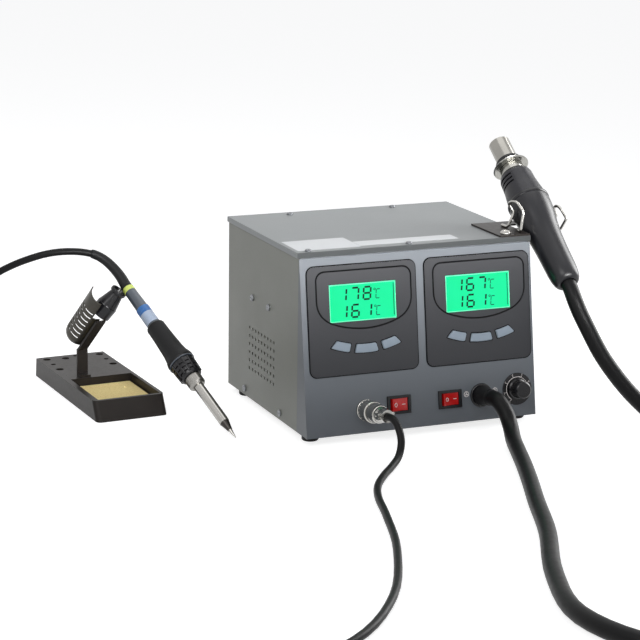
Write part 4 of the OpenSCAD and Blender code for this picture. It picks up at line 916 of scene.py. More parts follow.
@dataclass(frozen=True)
class Lamp:
    """A soft lamp that looks at a point: places and face in metres, spread in degrees."""

    name: str
    at: Point
    aim: Point
    face: Flat
    watts: float
    spread: float = 180.0

    def hang(self) -> None:
        """Adds the lamp."""
        data = bpy.data.lights.new(self.name, "AREA")
        data.shape = "RECTANGLE"
        data.size, data.size_y = self.face
        data.energy = self.watts
        data.spread = math.radians(self.spread)
        lamp = add_object(self.name, data)
        lamp.location = self.at
        lamp.visible_camera = False
        lamp.rotation_euler = (Vector(self.aim) - Vector(self.at)).to_track_quat("-Z", "Y").to_euler()


@dataclass
class Studio:
    """Pale floor, soft lamps and the camera at the photograph's angle."""

    floor_size: float = 9.0
    floor_colour: str = "#cbcbcb"
    floor_tint: str = "#c4c4c4"
    floor_grains: float = 90.0
    floor_glow: float = 0.78
    sky_strength: float = 0.3
    focal_px: float = 2166.9
    frame_px: float = 640.0
    sensor: float = 36.0
    far_clip: float = 50.0
    shift: Flat = (0.0056, -0.0823)
    # The camera's place and axes, as fitted to the corners of the case, and its roll in degrees
    eye: Point = (-0.69967, -1.66504, 0.52201)
    right: Point = (0.9201, -0.3917, 0.0)
    up: Point = (0.08591, 0.2018, 0.97566)
    back: Point = (-0.38216, -0.89769, 0.21933)
    roll: float = 0.81
    lamps: tuple[Lamp, ...] = (
        Lamp("key", (-1.1, -1.0, 1.35), (-0.05, -0.05, 0.08), (0.8, 0.8), 8.0),
        Lamp("over", (0.15, 0.25, 1.4), (0.05, 0.0, 0.1), (1.1, 1.1), 3.6),
        Lamp("side", (1.15, 0.1, 0.5), (0.19, -0.08, 0.14), (0.5, 0.9), 2.0, 70.0),
        Lamp("front_strip", (0.05, -0.52, 0.26), (0.05, -0.1, 0.225), (0.6, 0.08), 1.02, 57.0))

    def build(self) -> None:
        """Adds the camera, the lamps, the world and the floor."""
        self.camera()
        for lamp in self.lamps:
            lamp.hang()
        self.world()
        self.floor()

    def camera(self) -> None:
        """Sets the camera from the measured view of the photograph."""
        data = bpy.data.cameras.new("photo_view")
        data.sensor_width = self.sensor
        data.lens = self.focal_px * self.sensor / self.frame_px
        data.shift_x, data.shift_y = self.shift
        data.clip_end = self.far_clip
        roll = math.radians(self.roll)
        x = (math.cos(roll) * Vector(self.right) + math.sin(roll) * Vector(self.up)).normalized()
        back = Vector(self.back).normalized()
        y = back.cross(x).normalized()
        turn = Matrix((x, y, back)).transposed().to_4x4()
        camera = add_object("photo_view", data)
        camera.matrix_world = Matrix.Translation(self.eye) @ turn
        bpy.context.scene.camera = camera

    def seen(self, tree: NodeTree) -> NodeSocket:
        """Adds a switch for the rays by which the background itself is seen.

        Args:
            tree: the node tree that it joins.

        Returns:
            A socket that is one for those rays.
        """
        rays = add_node(tree, "LightPath").outputs
        straight = add_node(tree, "Math", {"operation": "MAXIMUM"},
                            {0: rays["Is Camera Ray"], 1: rays["Is Transmission Ray"]}).outputs[0]
        return add_node(tree, "Math", {"operation": "MAXIMUM"},
                        {0: straight, 1: rays["Is Glossy Ray"]}).outputs[0]

    def world(self) -> None:
        """A soft sky that the camera and reflections see as white."""
        world = bpy.data.worlds.new("studio")
        world.use_nodes = True
        tree = world.node_tree
        tree.nodes.clear()
        seen = self.seen(tree)
        plain = add_node(tree, "Background",
                         {"Color": linear("#f2f4f8"), "Strength": self.sky_strength})
        white = add_node(tree, "Background", {"Color": linear("#ffffff"), "Strength": 1.0})
        both = add_node(tree, "MixShader",
                        links={0: seen, 1: plain.outputs[0], 2: white.outputs[0]})
        add_node(tree, "OutputWorld", links={"Surface": both.outputs[0]})
        bpy.context.scene.world = world
        bpy.context.scene.view_settings.view_transform = "Standard"

    def floor(self) -> None:
        """A white bench top that keeps a faint shadow and fades into the background."""
        material, tree = new_tree("white_bench_laminate")
        where = add_node(tree, "TexCoord").outputs["Object"]
        grain = add_node(tree, "TexNoise", {"Scale": self.floor_grains, "Detail": 3.0},
                         {"Vector": where}).outputs["Fac"]
        colour = add_node(tree, "Mix",
                          {"data_type": "RGBA", 6: linear(self.floor_colour),
                           7: linear(self.floor_tint)}, {0: grain}).outputs[2]
        matt = add_node(tree, "BsdfDiffuse", links={"Color": colour})
        glow = add_node(tree, "Emission",
                        {"Color": linear("#ffffff"), "Strength": self.floor_glow})
        lifted = add_node(tree, "AddShader", links={0: matt.outputs[0], 1: glow.outputs[0]})
        seen = add_node(tree, "MixShader",
                        links={0: self.seen(tree), 1: matt.outputs[0], 2: lifted.outputs[0]})
        add_node(tree, "OutputMaterial", links={"Surface": seen.outputs[0]})
        bm = bmesh.new()
        bmesh.ops.create_grid(bm, x_segments=1, y_segments=1, size=self.floor_size / 2)
        mesh = mesh_of(bm, "bench_top")
        mesh.materials.append(material)
        floor = add_object("bench_top", mesh)


# ---------------------------------------------------------------- cords


@dataclass
class Cords:
    """The iron's cord and the air hose, each a tube on one smooth route."""

    cord_dia: float = 6.0
    hose_dia: float = 13.0
    cord_length: float = 1.44
    hose_length: float = 1.19
    cord_route: tuple[Point, ...] = (
        (-51, -140.4, 30.8), (-49.8, -149, 30.2), (-48.8, -156, 25), (-49.6, -163, 16),
        (-55, -170, 7), (-66, -181, 3.2), (-81, -199, 3.2), (-96, -221, 3.2),
        (-107, -247, 3.2), (-118, -285, 3.2), (-140, -350, 3.2), (-180, -430, 3.2),
        (-235, -490, 3.2), (-310, -520, 3.2), (-390, -500, 3.2), (-440, -440, 3.2),
        (-450, -360, 3.2), (-438, -270, 3.2), (-420, -180, 3.2), (-405, -90, 3.2),
        (-396, 0, 3.2), (-386, 70, 3.2), (-376, 114, 8), (-356, 136, 30), (-334, 140, 64),
        (-311, 133, 96), (-297.3, 126.6, 108), (-284.7, 119.6, 116), (-273.8, 112.8, 121.6),
        (-262.4, 107.6, 125.8), (-252.3, 104.4, 127.9), (-242.3, 102.4, 128.5),
        (-232.2, 100.9, 127.9), (-225.5, 99.9, 126.8), (-219.65, 98.95, 125.35))
    hose_route: tuple[Point, ...] = (
        (53.5, -116, 29.42), (53.5, -118, 29.71), (53.5, -120.4, 30.06), (54.6, -128, 29),
        (56, -137, 22.5), (55.5, -147, 13.5), (50, -163, 7.4), (40, -190, 6.7),
        (28, -222, 6.7), (12, -262, 6.7), (-6, -305, 6.7), (-30, -365, 6.7),
        (-66, -440, 6.7), (-86, -510, 6.7), (-66, -572, 6.7), (-14, -606, 6.7),
        (48, -588, 6.7), (88, -530, 6.7), (112, -450, 6.7), (140, -360, 6.7),
        (160, -287, 6.7), (172.5, -243, 6.7), (178.6, -219.1, 6.8), (179.9, -206.6, 7.4),
        (178.4, -193.1, 10.2), (173.8, -180.3, 16.2), (166.5, -168.8, 25), (157.6, -160, 35.8),
        (148.4, -152, 49.1), (138, -144, 66.8), (127.9, -135.5, 90), (124.5, -131.2, 99.5),
        (122, -126.8, 108.8), (121.3, -121.7, 115.9), (121, -117, 120.5), (121, -113.8, 122.9))
    # Pieces between two points of a route, and the height bend_low in millimetres
    steps: int = 5
    bend_low: float = 45.0

    def build(self) -> None:
        """Adds both cords, which run from the station to the tool that they serve."""
        self.cord("iron_cord_jacket", self.cord_route, self.cord_dia, "iron_cord")
        self.cord("air_hose_jacket", self.hose_route, self.hose_dia, "air_hose")

    def cord(self, name: str, points: Sequence[Point], diameter: float, node: str) -> None:
        """Adds one cord as a mesh tube on its route.

        Args:
            name: the piece's name.
            points: its route on the bench, in millimetres.
            diameter: its outer diameter in millimetres.
            node: the CAD node that it stands for.
        """
        route = smooth(points, self.steps)
        piece = add_tube(name, route, diameter / 2, BENCH, CORD_PVC, None, resolution=8)
        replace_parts(piece, node)
        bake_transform(piece)


# ---------------------------------------------------------------- the station


@dataclass
class SteelCase:
    """Folded sheet case with its cover, feet, screws and two bare labels on the cover."""

    cover_bevel: float = 0.7
    sheet_bevel: float = 0.25
    label_t: float = 0.12
    # Middle, width and depth of each label in the frame of the part
    labels: tuple[tuple[float, float, float, float], ...] = (
        (-22.8, -83.6, 55.0, 36.6), (49.6, -91.3, 89.0, 16.4))

    def build(self) -> None:
        """Adds the sheet parts, feet, screws and labels."""
        refine("base_pan", CASE_POWDER, self.sheet_bevel)
        refine("case_shell", CASE_POWDER, 0.0)
        self.shade_lip(refine("top_cover", COVER_POWDER, self.cover_bevel, 3))
        refine("front_panel", PANEL_POWDER, 0.0)
        refine("feet", SOFT_RUBBER, 0.3)
        refine("case_screws", SCREW_STEEL, 0.15)
        for number, (x, y, width, depth) in enumerate(self.labels, 1):
            film = slab(round_rect(width, depth, 1.0), 0, self.label_t)
            add_solid(f"bare_cover_label_{number}", film, place((x, y, CASE_TOP)), BARE_LABEL,
                      "station", 0.04, 1)

    def shade_lip(self, cover: Object) -> None:
        """Keeps the strip lamp, which is for the leaning front, off the cover and its lip.

        Args:
            cover: the piece of the cover.
        """
        spared = bpy.data.collections.new("spared_by_front_strip")
        spared.objects.link(cover)
        spared.collection_objects[0].light_linking.link_state = "EXCLUDE"
        bpy.data.objects["front_strip"].light_linking.receiver_collection = spared


KEYS = ("l1", "l2", "l3", "r1", "r2", "r3")


@dataclass
class LitDisplays:
    """Two display plates with their lit windows, digits and keys, and black lines of painted shade in
    their gaps.
    """

    plate_u: tuple[float, float] = (6.6, 110.4)
    plate_v: float = 12.2
    plate_w: float = 95.4
    plate_h: float = 88.8
    plate_r: float = 6.0
    plate_t: float = 1.2
    lcd_u: float = 18.6
    lcd_v: float = 15.4
    lcd_w: float = 59.0
    lcd_h: float = 30.6
    glass_top: float = 0.8
    key_mid_u: float = 49.3
    # Radii of the black lines of painted shade, how far the first lies outside the plate and how deep
    # the others lie
    edge_shade_r: float = 0.6
    edge_shade_grow: float = 0.5
    edge_shade_up: float = 0.45
    bead_r: float = 0.85
    bead_sink: float = 0.45
    gap_r: float = 0.42
    gap_sink: float = 0.12
    # Groove round the window: half width, top, corners, foot of its straight sides, and the bulge's
    # lowest point, radius and half width
    bezel_half: float = 42.4
    bezel_top: float = 3.8
    bezel_corner: float = 8.0
    bezel_foot: float = 28.0
    bezel_low: float = 52.8
    bezel_bulge: float = 80.0
    bezel_flank: float = 30.0
    bezel_inset: float = 0.55
    # Keys on their arc: top of the arc's middle, radii, half width and ends, slants of the ends in
    # degrees, and the rounding of the gap's corners
    arc_above: float = 13.0
    key_low_r: float = 85.0
    key_high_r: float = 78.0
    key_end_r: float = 81.5
    mid_key_half: float = 9.5
    side_key_ends: Flat = (14.3, 28.2)
    inner_slant: float = 15.0
    outer_slant: float = 37.0
    gap_corner: float = 0.9
    key_clearance: float = 0.35
    # Pale line inside the edge of the glass, which is painted light, and the inset, width and
    # shortening of the dark edge line, which is a painted shadow
    light_r: float = 0.22
    light_inset: float = 0.55
    shadow: Point = (2.1, 0.55, 4.5)
    # Digits from the glass's upper left corner
    row_top: float = 3.6
    row_step: float = 13.7
    digit_left: float = 8.9
    digit_step: float = 10.75
    digit_h: float = 9.9
    digit_w: float = 6.2
    stroke: float = 1.45
    ink_t: float = 0.16
    slant: float = 0.1
    # The C and the degree sign: left, drop, width, height, stroke and segments
    unit: tuple[tuple[float, float, float, float, float, str], ...] = (
        (41.4, 2.4, 3.4, 7.3, 0.6, "afed"), (39.4, 1.6, 1.5, 2.6, 0.45, "abfg"))
    segments: tuple[str, ...] = ("abcdef", "bc", "abged", "abgcd", "fgbc", "afgcd", "afgedc", "abc",
                                 "abcdefg", "abcdfg")
    readings: tuple[tuple[str, str], ...] = (("178", "161"), ("167", "161"))

    def build(self) -> None:
        """Adds plates, lines of painted shade, glass, digits and keys."""
        refine("display_plates", CHARCOAL_FILM, 0.25)
        for node_slot in frame["nodes"]["lcd_modules"].material_slots:
            node_slot.material = material_of(LIT)
        refine("display_boards", SOLDER_MASK, 0.1)
        for side, (u, rows) in enumerate(zip(self.plate_u, self.readings), 1):
            self.gap_shade_lines(side, u)
            self.window(side, u)
            for row, text in enumerate(rows):
                self.reading(side, u, row, text)
        for key in KEYS:
            refine(f"key_{key}", KEY_ABS, 0.3)
        self.key_gaps()

    def gap_shade_lines(self, side: int, u: float) -> None:
        """Adds black lines of painted shade round a plate's edge and in the groove round its window.

        Args:
            side: number of the plate.
            u: left edge of the plate.
        """
        grow = self.edge_shade_grow
        edge = round_rect(self.plate_w + grow, self.plate_h + grow, self.plate_r)
        middle = on_panel(u + self.plate_w / 2, self.plate_v + self.plate_h / 2, self.edge_shade_up)
        add_ring(f"plate_edge_shade_{side}", edge, self.edge_shade_r, middle, GAP_SHADE, resolution=3)
        window = on_panel(u + self.key_mid_u, self.plate_v, self.plate_t - self.bead_sink)
        add_ring(f"window_groove_shade_{side}", self.groove(), self.bead_r, window, GAP_SHADE, resolution=3)

    def groove(self) -> list[Flat]:
        """Draws the groove: round upper corners, straight sides and a lower bulge.

        Returns:
            Points of its middle line, about the middle of the plate's top edge.
        """
        flank = self.bezel_flank
        half, corner = self.bezel_half - self.bezel_inset, self.bezel_corner - self.bezel_inset
        top = -self.bezel_top - self.bezel_inset
        middle = -self.bezel_low + self.bezel_bulge
        radius = self.bezel_bulge - self.bezel_inset
        right = [(half - corner + corner * math.cos(math.radians(a)),
                  top - corner + corner * math.sin(math.radians(a))) for a in range(90, -1, -10)]
        start, pull = -self.bezel_foot, middle - math.sqrt(radius ** 2 - half ** 2)
        low = middle - math.sqrt(radius ** 2 - flank ** 2)
        for k in range(9):
            t = k / 8
            right.append(((1 - t) ** 2 * half + 2 * t * (1 - t) * half + t * t * flank,
                          (1 - t) ** 2 * start + 2 * t * (1 - t) * pull + t * t * low))
        right += [(x, middle - math.sqrt(radius ** 2 - x * x))
                  for x in (flank * k / 5 for k in (4, 3, 2, 1))]
        return right + [(0, middle - radius)] + [(-x, y) for x, y in reversed(right)]

    def window(self, side: int, u: float) -> None:
        """Adds painted light as a pale edge line, and a painted shadow as a dark edge line, to the lit
        glass.

        Args:
            side: number of the plate.
            u: left edge of the plate.
        """
        middle = on_panel(u + self.lcd_u + self.lcd_w / 2, self.plate_v + self.lcd_v + self.lcd_h / 2,
                          self.glass_top)
        width, height = self.lcd_w - 2 * self.light_inset, self.lcd_h - 2 * self.light_inset
        add_ring(f"edge_light_{side}", round_rect(width, height, 0.6, 2), self.light_r,
                 middle @ place((0, 0, 0.05)), EDGE_GLOW)
        inset, thick, shorter = self.shadow
        add_solid(f"edge_shadow_{side}", block(thick, self.lcd_h - shorter, 0.1),
                  middle @ place((self.lcd_w / 2 - inset, 0.3, 0)), SEGMENT_INK, "station")

    def reading(self, side: int, u: float, row: int, text: str) -> None:
        """Adds one row of slanted digits and its unit as thin dark segments.

        Args:
            side: number of the plate.
            u: left edge of the plate.
            row: 0 for the upper row and 1 for the lower one.
            text: the digits.
        """
        top = -self.row_top - row * self.row_step
        base = on_panel(u + self.lcd_u, self.plate_v + self.lcd_v, self.glass_top)
        bm = bmesh.new()
        for number, digit in enumerate(text):
            self.glyph(bm, self.digit_left + self.digit_step * number, top, self.digit_w, self.digit_h,
                       self.stroke, self.segments[int(digit)])
        for left, drop, *sizes in self.unit:
            self.glyph(bm, left, top - drop, *sizes)
        add_solid(f"reading_{side}_{row + 1}", bm, base, SEGMENT_INK, "station")

    def glyph(self, bm: BMesh, left: float, top: float, width: float, height: float,
              stroke: float, lit: str) -> None:
        """Draws the lit segments of one slanted character into a mesh.

        Args:
            bm: the mesh.
            left: left edge of the character.
            top: its upper edge.
            width: distance of its upright segments.
            height: distance of its upper and lower segments.
            stroke: width of a segment.
            lit: letters of the lit segments.
        """
        half = height / 2
        # Middle of each segment, and whether it lies flat
        bars = {"a": (width / 2, 0, True), "g": (width / 2, -half, True),
                "d": (width / 2, -height, True), "f": (0, -half / 2, False),
                "b": (width, -half / 2, False), "e": (0, -half * 1.5, False),
                "c": (width, -half * 1.5, False)}
        for segment in lit:
            x, y, flat = bars[segment]
            long = (width if flat else half) - stroke * 0.85
            size = (long, stroke) if flat else (stroke, long)
            lean = place((left + x + self.slant * (y + half), top + y, 0.0)) @ Matrix(
                ((1, self.slant, 0, 0), (0, 1, 0, 0), (0, 0, 1, 0), (0, 0, 0, 1)))
            bmesh.ops.create_cube(bm, size=1.0,
                                  matrix=lean @ Matrix.Diagonal((*size, self.ink_t, 1)))

    def key_gaps(self) -> None:
        """Black lines of painted shade in the gaps round the keys, so that each key has a dark line
        round it.
        """
        for key in KEYS:
            side, k = "lr".index(key[0]), int(key[1]) - 2
            middle = on_panel(self.plate_u[side] + self.key_mid_u, self.plate_v - self.arc_above,
                              self.plate_t - self.gap_sink)
            add_ring(f"key_gap_{key}", self.key_outline(k, self.key_clearance), self.gap_r, middle,
                     GAP_SHADE)

    def key_outline(self, k: int, grow: float) -> list[Flat]:
        """Draws the outline of a key about the middle of the keys' arc.

        Args:
            k: place of the key, from -1 to 1.
            grow: how far outside the key the outline lies.

        Returns:
            Points of the outline.
        """
        inner, outer = (math.tan(math.radians(a)) for a in (self.inner_slant, self.outer_slant))

        def end(at: float, radius: float, slope: float, more: float) -> float:
            """Finds where an end of the key lies.

            Args:
                at: where it lies at key_end_r.
                radius: the radius that is asked for.
                slope: how far it leans outwards for each millimetre of radius.
                more: how far outside the end the outline lies.

            Returns:
                Its place along X.
            """
            return at + (radius - self.key_end_r) * slope + more * math.sqrt(1 + slope * slope)

        corners = []
        for radius in (self.key_low_r + grow, self.key_high_r - grow):
            if k == 0:
                x = end(self.mid_key_half, radius, inner, grow)
                corners.append((-x, x, radius))
            else:
                near, far = self.side_key_ends
                corners.append((end(near, radius, inner, -grow), end(far, radius, outer, grow), radius))
        points = []
        for (x0, x1, radius), order in zip(corners, ((0, 1), (1, 0))):
            ends = (x0, x1)
            for j in range(4):
                x = ends[order[0]] + (ends[order[1]] - ends[order[0]]) * j / 3
                points.append((x, -math.sqrt(radius ** 2 - x * x)))
        if k < 0:
            points = [(-x, y) for x, y in points]
        soft = rounded([(x, y, 0.0) for x, y in points + points[:2]], self.gap_corner, 3)
        return [(p.x, p.y) for p in soft[1:-1]]


@dataclass
class PowerSwitches:
    """Two red rocker switches in black frames, with a ring and a bar as their marks."""

    places_u: tuple[tuple[str, float], ...] = (("left", 83.1), ("right", 129.5))
    v: float = 129.6
    pivot: float = -1.2
    tilt: float = 9.0
    slope: float = 8.7
    mark_x: float = 3.8
    mark_z: float = 2.93
    ring_half: Flat = (1.25, 1.4)
    ring_stroke: float = 0.27
    bar: Flat = (3.0, 0.55)
    bar_z: float = 2.88
    bar_corner: float = 0.25

    def build(self) -> None:
        """Adds frames, rockers and marks."""
        refine("rocker_frames", GLOSS_ABS, 0.5, 3)
        for name, u in self.places_u:
            body = f"rocker_{name}"
            refine(body, RED_PC, 0.35, 3)
            seat = on_panel(u, self.v, self.pivot) @ place(turn=(0, self.tilt, 0))
            left = seat @ place((-self.mark_x, 0, self.mark_z), (0, self.slope, 0))
            add_ring(f"off_mark_{name}", ellipse(*self.ring_half, 28), self.ring_stroke, left,
                     WHITE_INK, body)
            right = seat @ place((self.mark_x, 0, self.bar_z), (0, -self.slope, 0))
            add_bar(f"on_mark_{name}", self.bar, self.bar_corner, right, body, 4)


@dataclass
class FrontFittings:
    """Iron socket with its plug, air outlet with its sleeve, and the air flow dial."""

    hose_u: float = 158.5
    hose_v: float = 129.1
    dial_u: float = 192.0
    dial_v: float = 127.0
    disc_t: float = 0.6
    arc_r: float = 10.0
    arc_from: float = 235.0
    arc_to: float = 25.0
    arc_steps: int = 40
    arc_stroke: float = 0.26
    ticks: int = 6
    tick: Flat = (1.5, 0.42)
    tick_corner: float = 0.15
    tick_out: float = 0.8
    number_out: float = 2.45
    number_size: float = 2.2
    pointer_angle: float = -62.0
    pointer_r: float = 7.75
    pointer_up: float = 1.8
    dot: Flat = (1.6, 1.6)
    dot_corner: float = 0.79
    dot_t: float = 0.15
    icon_r: float = 2.1
    icon_stroke: float = 0.25
    icon_up: float = 0.05
    blade: Flat = (1.5, 0.7)
    blade_corner: float = 0.3
    blade_out: float = 0.85
    icon_uv: tuple[Flat, ...] = ((145.0, 127.2), (171.5, 126.4))
    sleeve: tuple[Flat, ...] = (
        (0, 1.8), (7.9, 1.8), (8.0, 2.6), (7.8, 5.0), (7.5, 8.0), (7.2, 12.0), (7.0, 15.5),
        (6.85, 17.6), (6.7, 18.0), (0, 18.0))

    def build(self) -> None:
        """Adds socket, plug, outlet, sleeve and dial."""
        refine("iron_socket", CHROME, 0.25)
        refine("plug_body", CHROME, 0.3, 3)
        refine("plug_ring", CHROME, 0.12)
        refine("plug_clamp", CLAMP_STEEL, 0.3, 3)
        refine("hose_gland", GLOSS_ABS, 0.3)
        stand_for(add_solid("hose_sleeve", lathe(self.sleeve), on_panel(self.hose_u, self.hose_v),
                            SOFT_RUBBER, "station", 0.2), "hose_boot")
        refine("dial_plate", GLOSS_ABS, 0.15)
        refine("air_knob", GLOSS_ABS, 0.2)
        refine("pot_shaft", SCREW_STEEL, 0.2)
        refine("pot_body", DARK_STEEL, 0.2)
        self.scale()
        for number, (u, v) in enumerate(self.icon_uv, 1):
            self.icon(number, u, v)

    def polar(self, angle: float, radius: float) -> Matrix:
        """Makes a place on the dial's disc that faces outwards.

        Args:
            angle: its direction, in degrees from the right.
            radius: its distance from the knob's axis.

        Returns:
            The placing matrix.
        """
        a = math.radians(angle)
        return (on_panel(self.dial_u, self.dial_v, self.disc_t)
                @ place((radius * math.cos(a), radius * math.sin(a), 0), (0, 0, angle)))

    def scale(self) -> None:
        """White arc, ticks and plain numbers on the disc, and the knob's pointer dot."""
        sweep = (self.arc_from - self.arc_to) % 360
        angles = [math.radians(self.arc_from - sweep * k / self.arc_steps)
                  for k in range(self.arc_steps + 1)]
        arc = [Vector((self.arc_r * math.cos(a), self.arc_r * math.sin(a), 0)) for a in angles]
        add_tube("dial_arc", arc, self.arc_stroke, on_panel(self.dial_u, self.dial_v, self.disc_t),
                 WHITE_INK, "station", resolution=2)
        for k in range(self.ticks):
            angle = self.arc_from - sweep * k / (self.ticks - 1)
            add_bar(f"dial_tick_{k + 1}", self.tick, self.tick_corner,
                    self.polar(angle, self.arc_r + self.tick_out))
            self.number(str(k + 1), self.polar(angle, self.arc_r + self.number_out)
                        @ place(turn=(0, 0, -angle)))
        dot = self.polar(self.pointer_angle, self.pointer_r) @ place((0, 0, self.pointer_up))
        add_bar("pointer_dot", self.dot, self.dot_corner, dot, "knob", 8, self.dot_t)

    def number(self, text: str, at: Matrix) -> None:
        """Adds one plain number as a thin mesh about its middle.

        Args:
            text: the number.
            at: the placing matrix, in millimetres.
        """
        curve = bpy.data.curves.new("number", "FONT")
        curve.body = text
        curve.size = self.number_size
        curve.extrude = INK_T / 2
        curve.align_x, curve.align_y = "CENTER", "CENTER"
        mesh = mesh_of_curve(curve)
        mesh.transform(Matrix.Scale(MM, 4) @ at @ place((0, 0, INK_T / 2)))
        add_piece(f"dial_number_{text}", mesh, WHITE_INK, "station")

    def icon(self, number: int, u: float, v: float) -> None:
        """Adds a generic round mark: a ring with a three-bladed fan inside.

        Args:
            number: which of the two marks it is.
            u: millimetres from the panel's left edge.
            v: millimetres down the slope.
        """
        at = on_panel(u, v, self.icon_up)
        add_ring(f"outlet_mark_ring_{number}", ellipse(self.icon_r, self.icon_r, 24), self.icon_stroke,
                 at, WHITE_INK)
        for blade in range(3):
            spot = at @ place(turn=(0, 0, 90 + 120 * blade)) @ place((self.blade_out, 0, 0))
            add_bar(f"outlet_mark_{number}_{blade + 1}", self.blade, self.blade_corner, spot)


@dataclass
class GunClip:
    """Foot plate, its large screw and the two jaws of chromed spring wire."""

    wire_r: float = 1.25
    left_bend: float = 2.6
    right_bend: float = 1.7
    left: tuple[Point, ...] = (
        (96.5, -44, 157.25), (97.5, -53, 157.25), (101.3, -55.5, 170), (97, -53.5, 177.5),
        (96.5, -60.5, 180.6), (97, -68, 181.4), (101.3, -72.6, 173.2), (98.5, -73.6, 157.25),
        (100.5, -64, 157.25))
    right: tuple[Point, ...] = (
        (143.5, -30, 157.25), (143.5, -44, 157.85), (145, -50.5, 163.1), (142.2, -50.2, 169.6),
        (141.4, -54.5, 172.8), (141.6, -59.6, 173.2), (142.6, -63.2, 170.9),
        (145, -68, 164.2), (141.5, -64, 154), (142, -56, 152.85), (142, -30, 153.25))

    def build(self) -> None:
        """Adds plate, screw and wires."""
        refine("clip_plate", LACQUER, 0.4)
        refine("clip_screw", CHROME, 0.3, 3)
        for name, route, bend in (("left", self.left, self.left_bend),
                                  ("right", self.right, self.right_bend)):
            wire = add_tube(f"jaw_wire_{name}", rounded(route, bend), self.wire_r, BENCH, CHROME,
                            "station")
            stand_for(wire, f"clip_wire_{name}")


@dataclass
class HotAirGun:
    """Nozzle, clamp, flange, collar, slotted shell, tapering grip and heater."""

    band_profile: tuple[Flat, ...] = (
        (9.4, 21.6), (10.9, 21.6), (11.2, 22.0), (11.2, 27.2), (10.9, 27.6), (9.4, 27.6))
    lip_profile: tuple[Flat, ...] = (
        (17.2, 69.0), (18.1, 69.0), (18.35, 69.4), (18.4, 71.4), (18.15, 72.0), (17.2, 72.0))
    grip_profile: tuple[Flat, ...] = (
        (15.8, 70.1), (17.3, 70.1), (17.75, 70.5), (17.9, 71.4), (17.95, 76), (17.8, 80), (17.3, 86),
        (16.5, 91), (15.7, 96), (14.9, 101), (14.3, 106), (13.8, 112), (13.4, 119), (13.1, 127),
        (12.9, 136), (12.75, 145), (12.5, 150), (12.0, 154), (11.2, 157.4), (10.0, 159.8), (8.6, 161),
        (7.0, 161), (6.7, 160.5), (6.7, 153), (10.1, 151), (10.7, 146), (11, 128), (12.2, 104),
        (15.6, 86))

    def build(self) -> None:
        """Adds the gun's pieces."""
        refine("gun_nozzle", GUN_STEEL, 0.2)
        refine("nozzle_clamp", SOFT_RUBBER, 0.35)
        add_solid("clamp_band", lathe(self.band_profile), GUN, GLOSS_ABS, "gun")
        refine("gun_flange", GUN_CHROME, 0.25)
        refine("gun_collar", GUN_CHROME, 0.2)
        refine("gun_shell", GUN_NYLON, 0.25)
        refine("gun_heater", CERAMIC, 0.2)
        add_solid("shell_lip", lathe(self.lip_profile), GUN, GLOSS_ABS, "gun")
        grip = add_solid("tapered_grip", lathe(self.grip_profile, 96), GUN, GRIP_NYLON, "gun",
                         crease=50)
        stand_for(grip, "gun_grip")


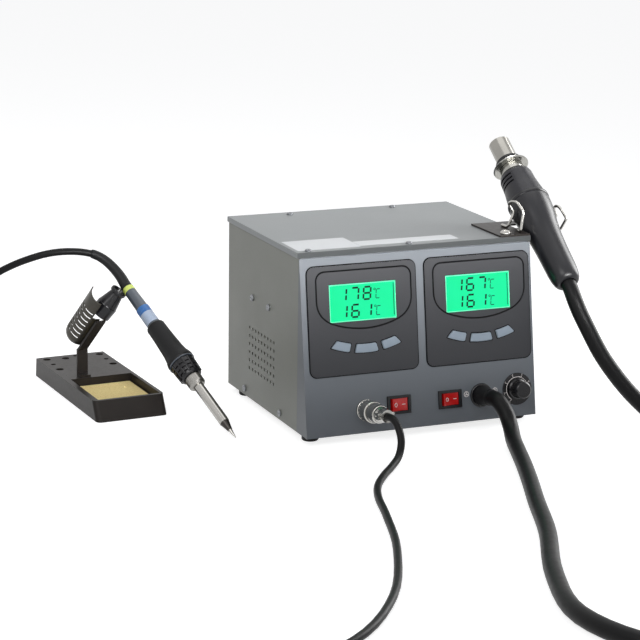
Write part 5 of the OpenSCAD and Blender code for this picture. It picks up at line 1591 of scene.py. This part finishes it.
@dataclass
class SolderingIron:
    """Tip, barrel, nut, ribbed collar, soft grip, handle tube with a bare label, ring and boot."""

    handle_r: float = 5.9
    film_t: float = 0.08
    label_from: float = 132.5
    label_mid: float = 144.0
    label_to: float = 151.0
    tip_profile: tuple[Flat, ...] = (
        (0.0, 0.0), (0.35, 0.25), (1.5, 7.6), (1.6, 9.0), (2.2, 9.2), (2.3, 10.0), (3.9, 17.3),
        (3.2, 17.8), (3.2, 52.5), (0.0, 52.5))
    tinned_profile: tuple[Flat, ...] = (
        (0.12, -0.04), (0.42, 0.2), (1.57, 7.6), (1.66, 9.05), (0.9, 9.05))
    rim_profile: tuple[Flat, ...] = (
        (10.4, 85.4), (11.6, 85.4), (11.75, 85.8), (11.6, 86.35), (10.4, 86.35))
    ribs: int = 12
    rib_size: Point = (1.3, 1.9, 14.4)
    rib_at: Point = (9.75, 0.0, 71.2)
    rib_lean: float = 2.6
    boot_r: float = 5.0
    boot_end_r: float = 3.7
    boot_route: tuple[Point, ...] = (
        (-195.3, 78.73, 97.8), (-195.8, 80.23, 98.85), (-196.3, 81.75, 99.9), (-197.7, 84.4, 103.4),
        (-199.4, 87, 107), (-201.8, 89.9, 110.8), (-205.2, 93.2, 115.2), (-209.2, 96, 119.2),
        (-214.2, 98.2, 122.8), (-219.2, 98.9, 125.2), (-221.0, 99.1, 125.7))

    def build(self) -> None:
        """Adds the iron's pieces."""
        tip = add_solid("stepped_tip", lathe(self.tip_profile), IRON, TIP_METAL, "iron")
        stand_for(tip, "iron_tip")
        add_solid("tinned_point", lathe(self.tinned_profile), IRON, IRON_STEEL, "iron")
        refine("iron_barrel", IRON_STEEL, 0.15)
        refine("barrel_nut", IRON_NUT, 0.15)
        refine("iron_collar", GLOSS_ABS, 0.3, 3)
        refine("iron_grip", SOFT_RUBBER, 0.4, 3)
        refine("iron_handle", HANDLE_TUBE, 0.2)
        refine("iron_ring", RING_ABS, 0.3, 3)
        self.band("bare_handle_label", self.label_from, self.label_mid, HANDLE_LABEL)
        self.band("bare_handle_band", self.label_mid + 0.05, self.label_to, HANDLE_BAND)
        add_solid("grip_rim", lathe(self.rim_profile), IRON, HANDLE_TUBE, "iron")
        for rib in range(self.ribs):
            add_solid(f"collar_rib_{rib + 1}", block(*self.rib_size),
                      IRON @ place(turn=(0, 0, 360 / self.ribs * rib))
                      @ place(self.rib_at, (0, self.rib_lean, 0)), GLOSS_ABS, "iron", 0.35)
        boot = add_tube("bent_boot", smooth(self.boot_route, 4), self.boot_r, BENCH, SOFT_RUBBER,
                        "iron", end_radius=self.boot_end_r, resolution=8)
        stand_for(boot, "iron_boot")

    def band(self, name: str, start: float, end: float, finish: Finish) -> None:
        """Adds a thin film round the handle tube.

        Args:
            name: the piece's name.
            start: where it starts, in millimetres from the tip.
            end: where it ends.
            finish: its finish.
        """
        inner, outer = self.handle_r - 0.3, self.handle_r + self.film_t
        add_solid(name, lathe([(inner, start), (outer, start), (outer, end), (inner, end)]), IRON,
                  finish, "iron")


@dataclass
class IronStand:
    """Lacquered base with its sponge, the holder's arm, slotted shield and funnel."""

    base_bevel: float = 0.7

    def build(self) -> None:
        """Adds the stand's pieces."""
        refine("stand_base", LACQUER, self.base_bevel, 3)
        refine("sponge", SPONGE, 0.9, 3)
        refine("holder_arm", LACQUER, 0.35)
        refine("heat_shield", SHIELD_STEEL, 0.2)
        refine("holder_funnel", GLOSS_ABS, 0.4, 3)
        refine("arm_screw", SCREW_STEEL, 0.15)


@dataclass
class InnerParts:
    """What the case holds: transformer, pump, boards, spacers and the mains inlet."""

    edge: float = 0.4

    def build(self) -> None:
        """Adds the inner parts."""
        refine("transformer", CORE_STEEL, self.edge)
        refine("air_pump", PUMP_ABS, 2.0, 3)
        refine("main_board", SOLDER_MASK, 0.15)
        refine("board_spacers", NYLON, 0.3)
        refine("mains_inlet", GLOSS_ABS, self.edge)


def main() -> None:
    """Builds the setting, then the cords, then every sub-assembly."""
    logging.basicConfig(level=logging.INFO, format="%(message)s")
    for part in (Studio(), Cords(), SteelCase(), LitDisplays(), PowerSwitches(), FrontFittings(),
                 GunClip(), HotAirGun(), SolderingIron(), IronStand(), InnerParts()):
        part.build()
        log.info("built %s", type(part).__name__)


if __name__ == "__main__":
    main()
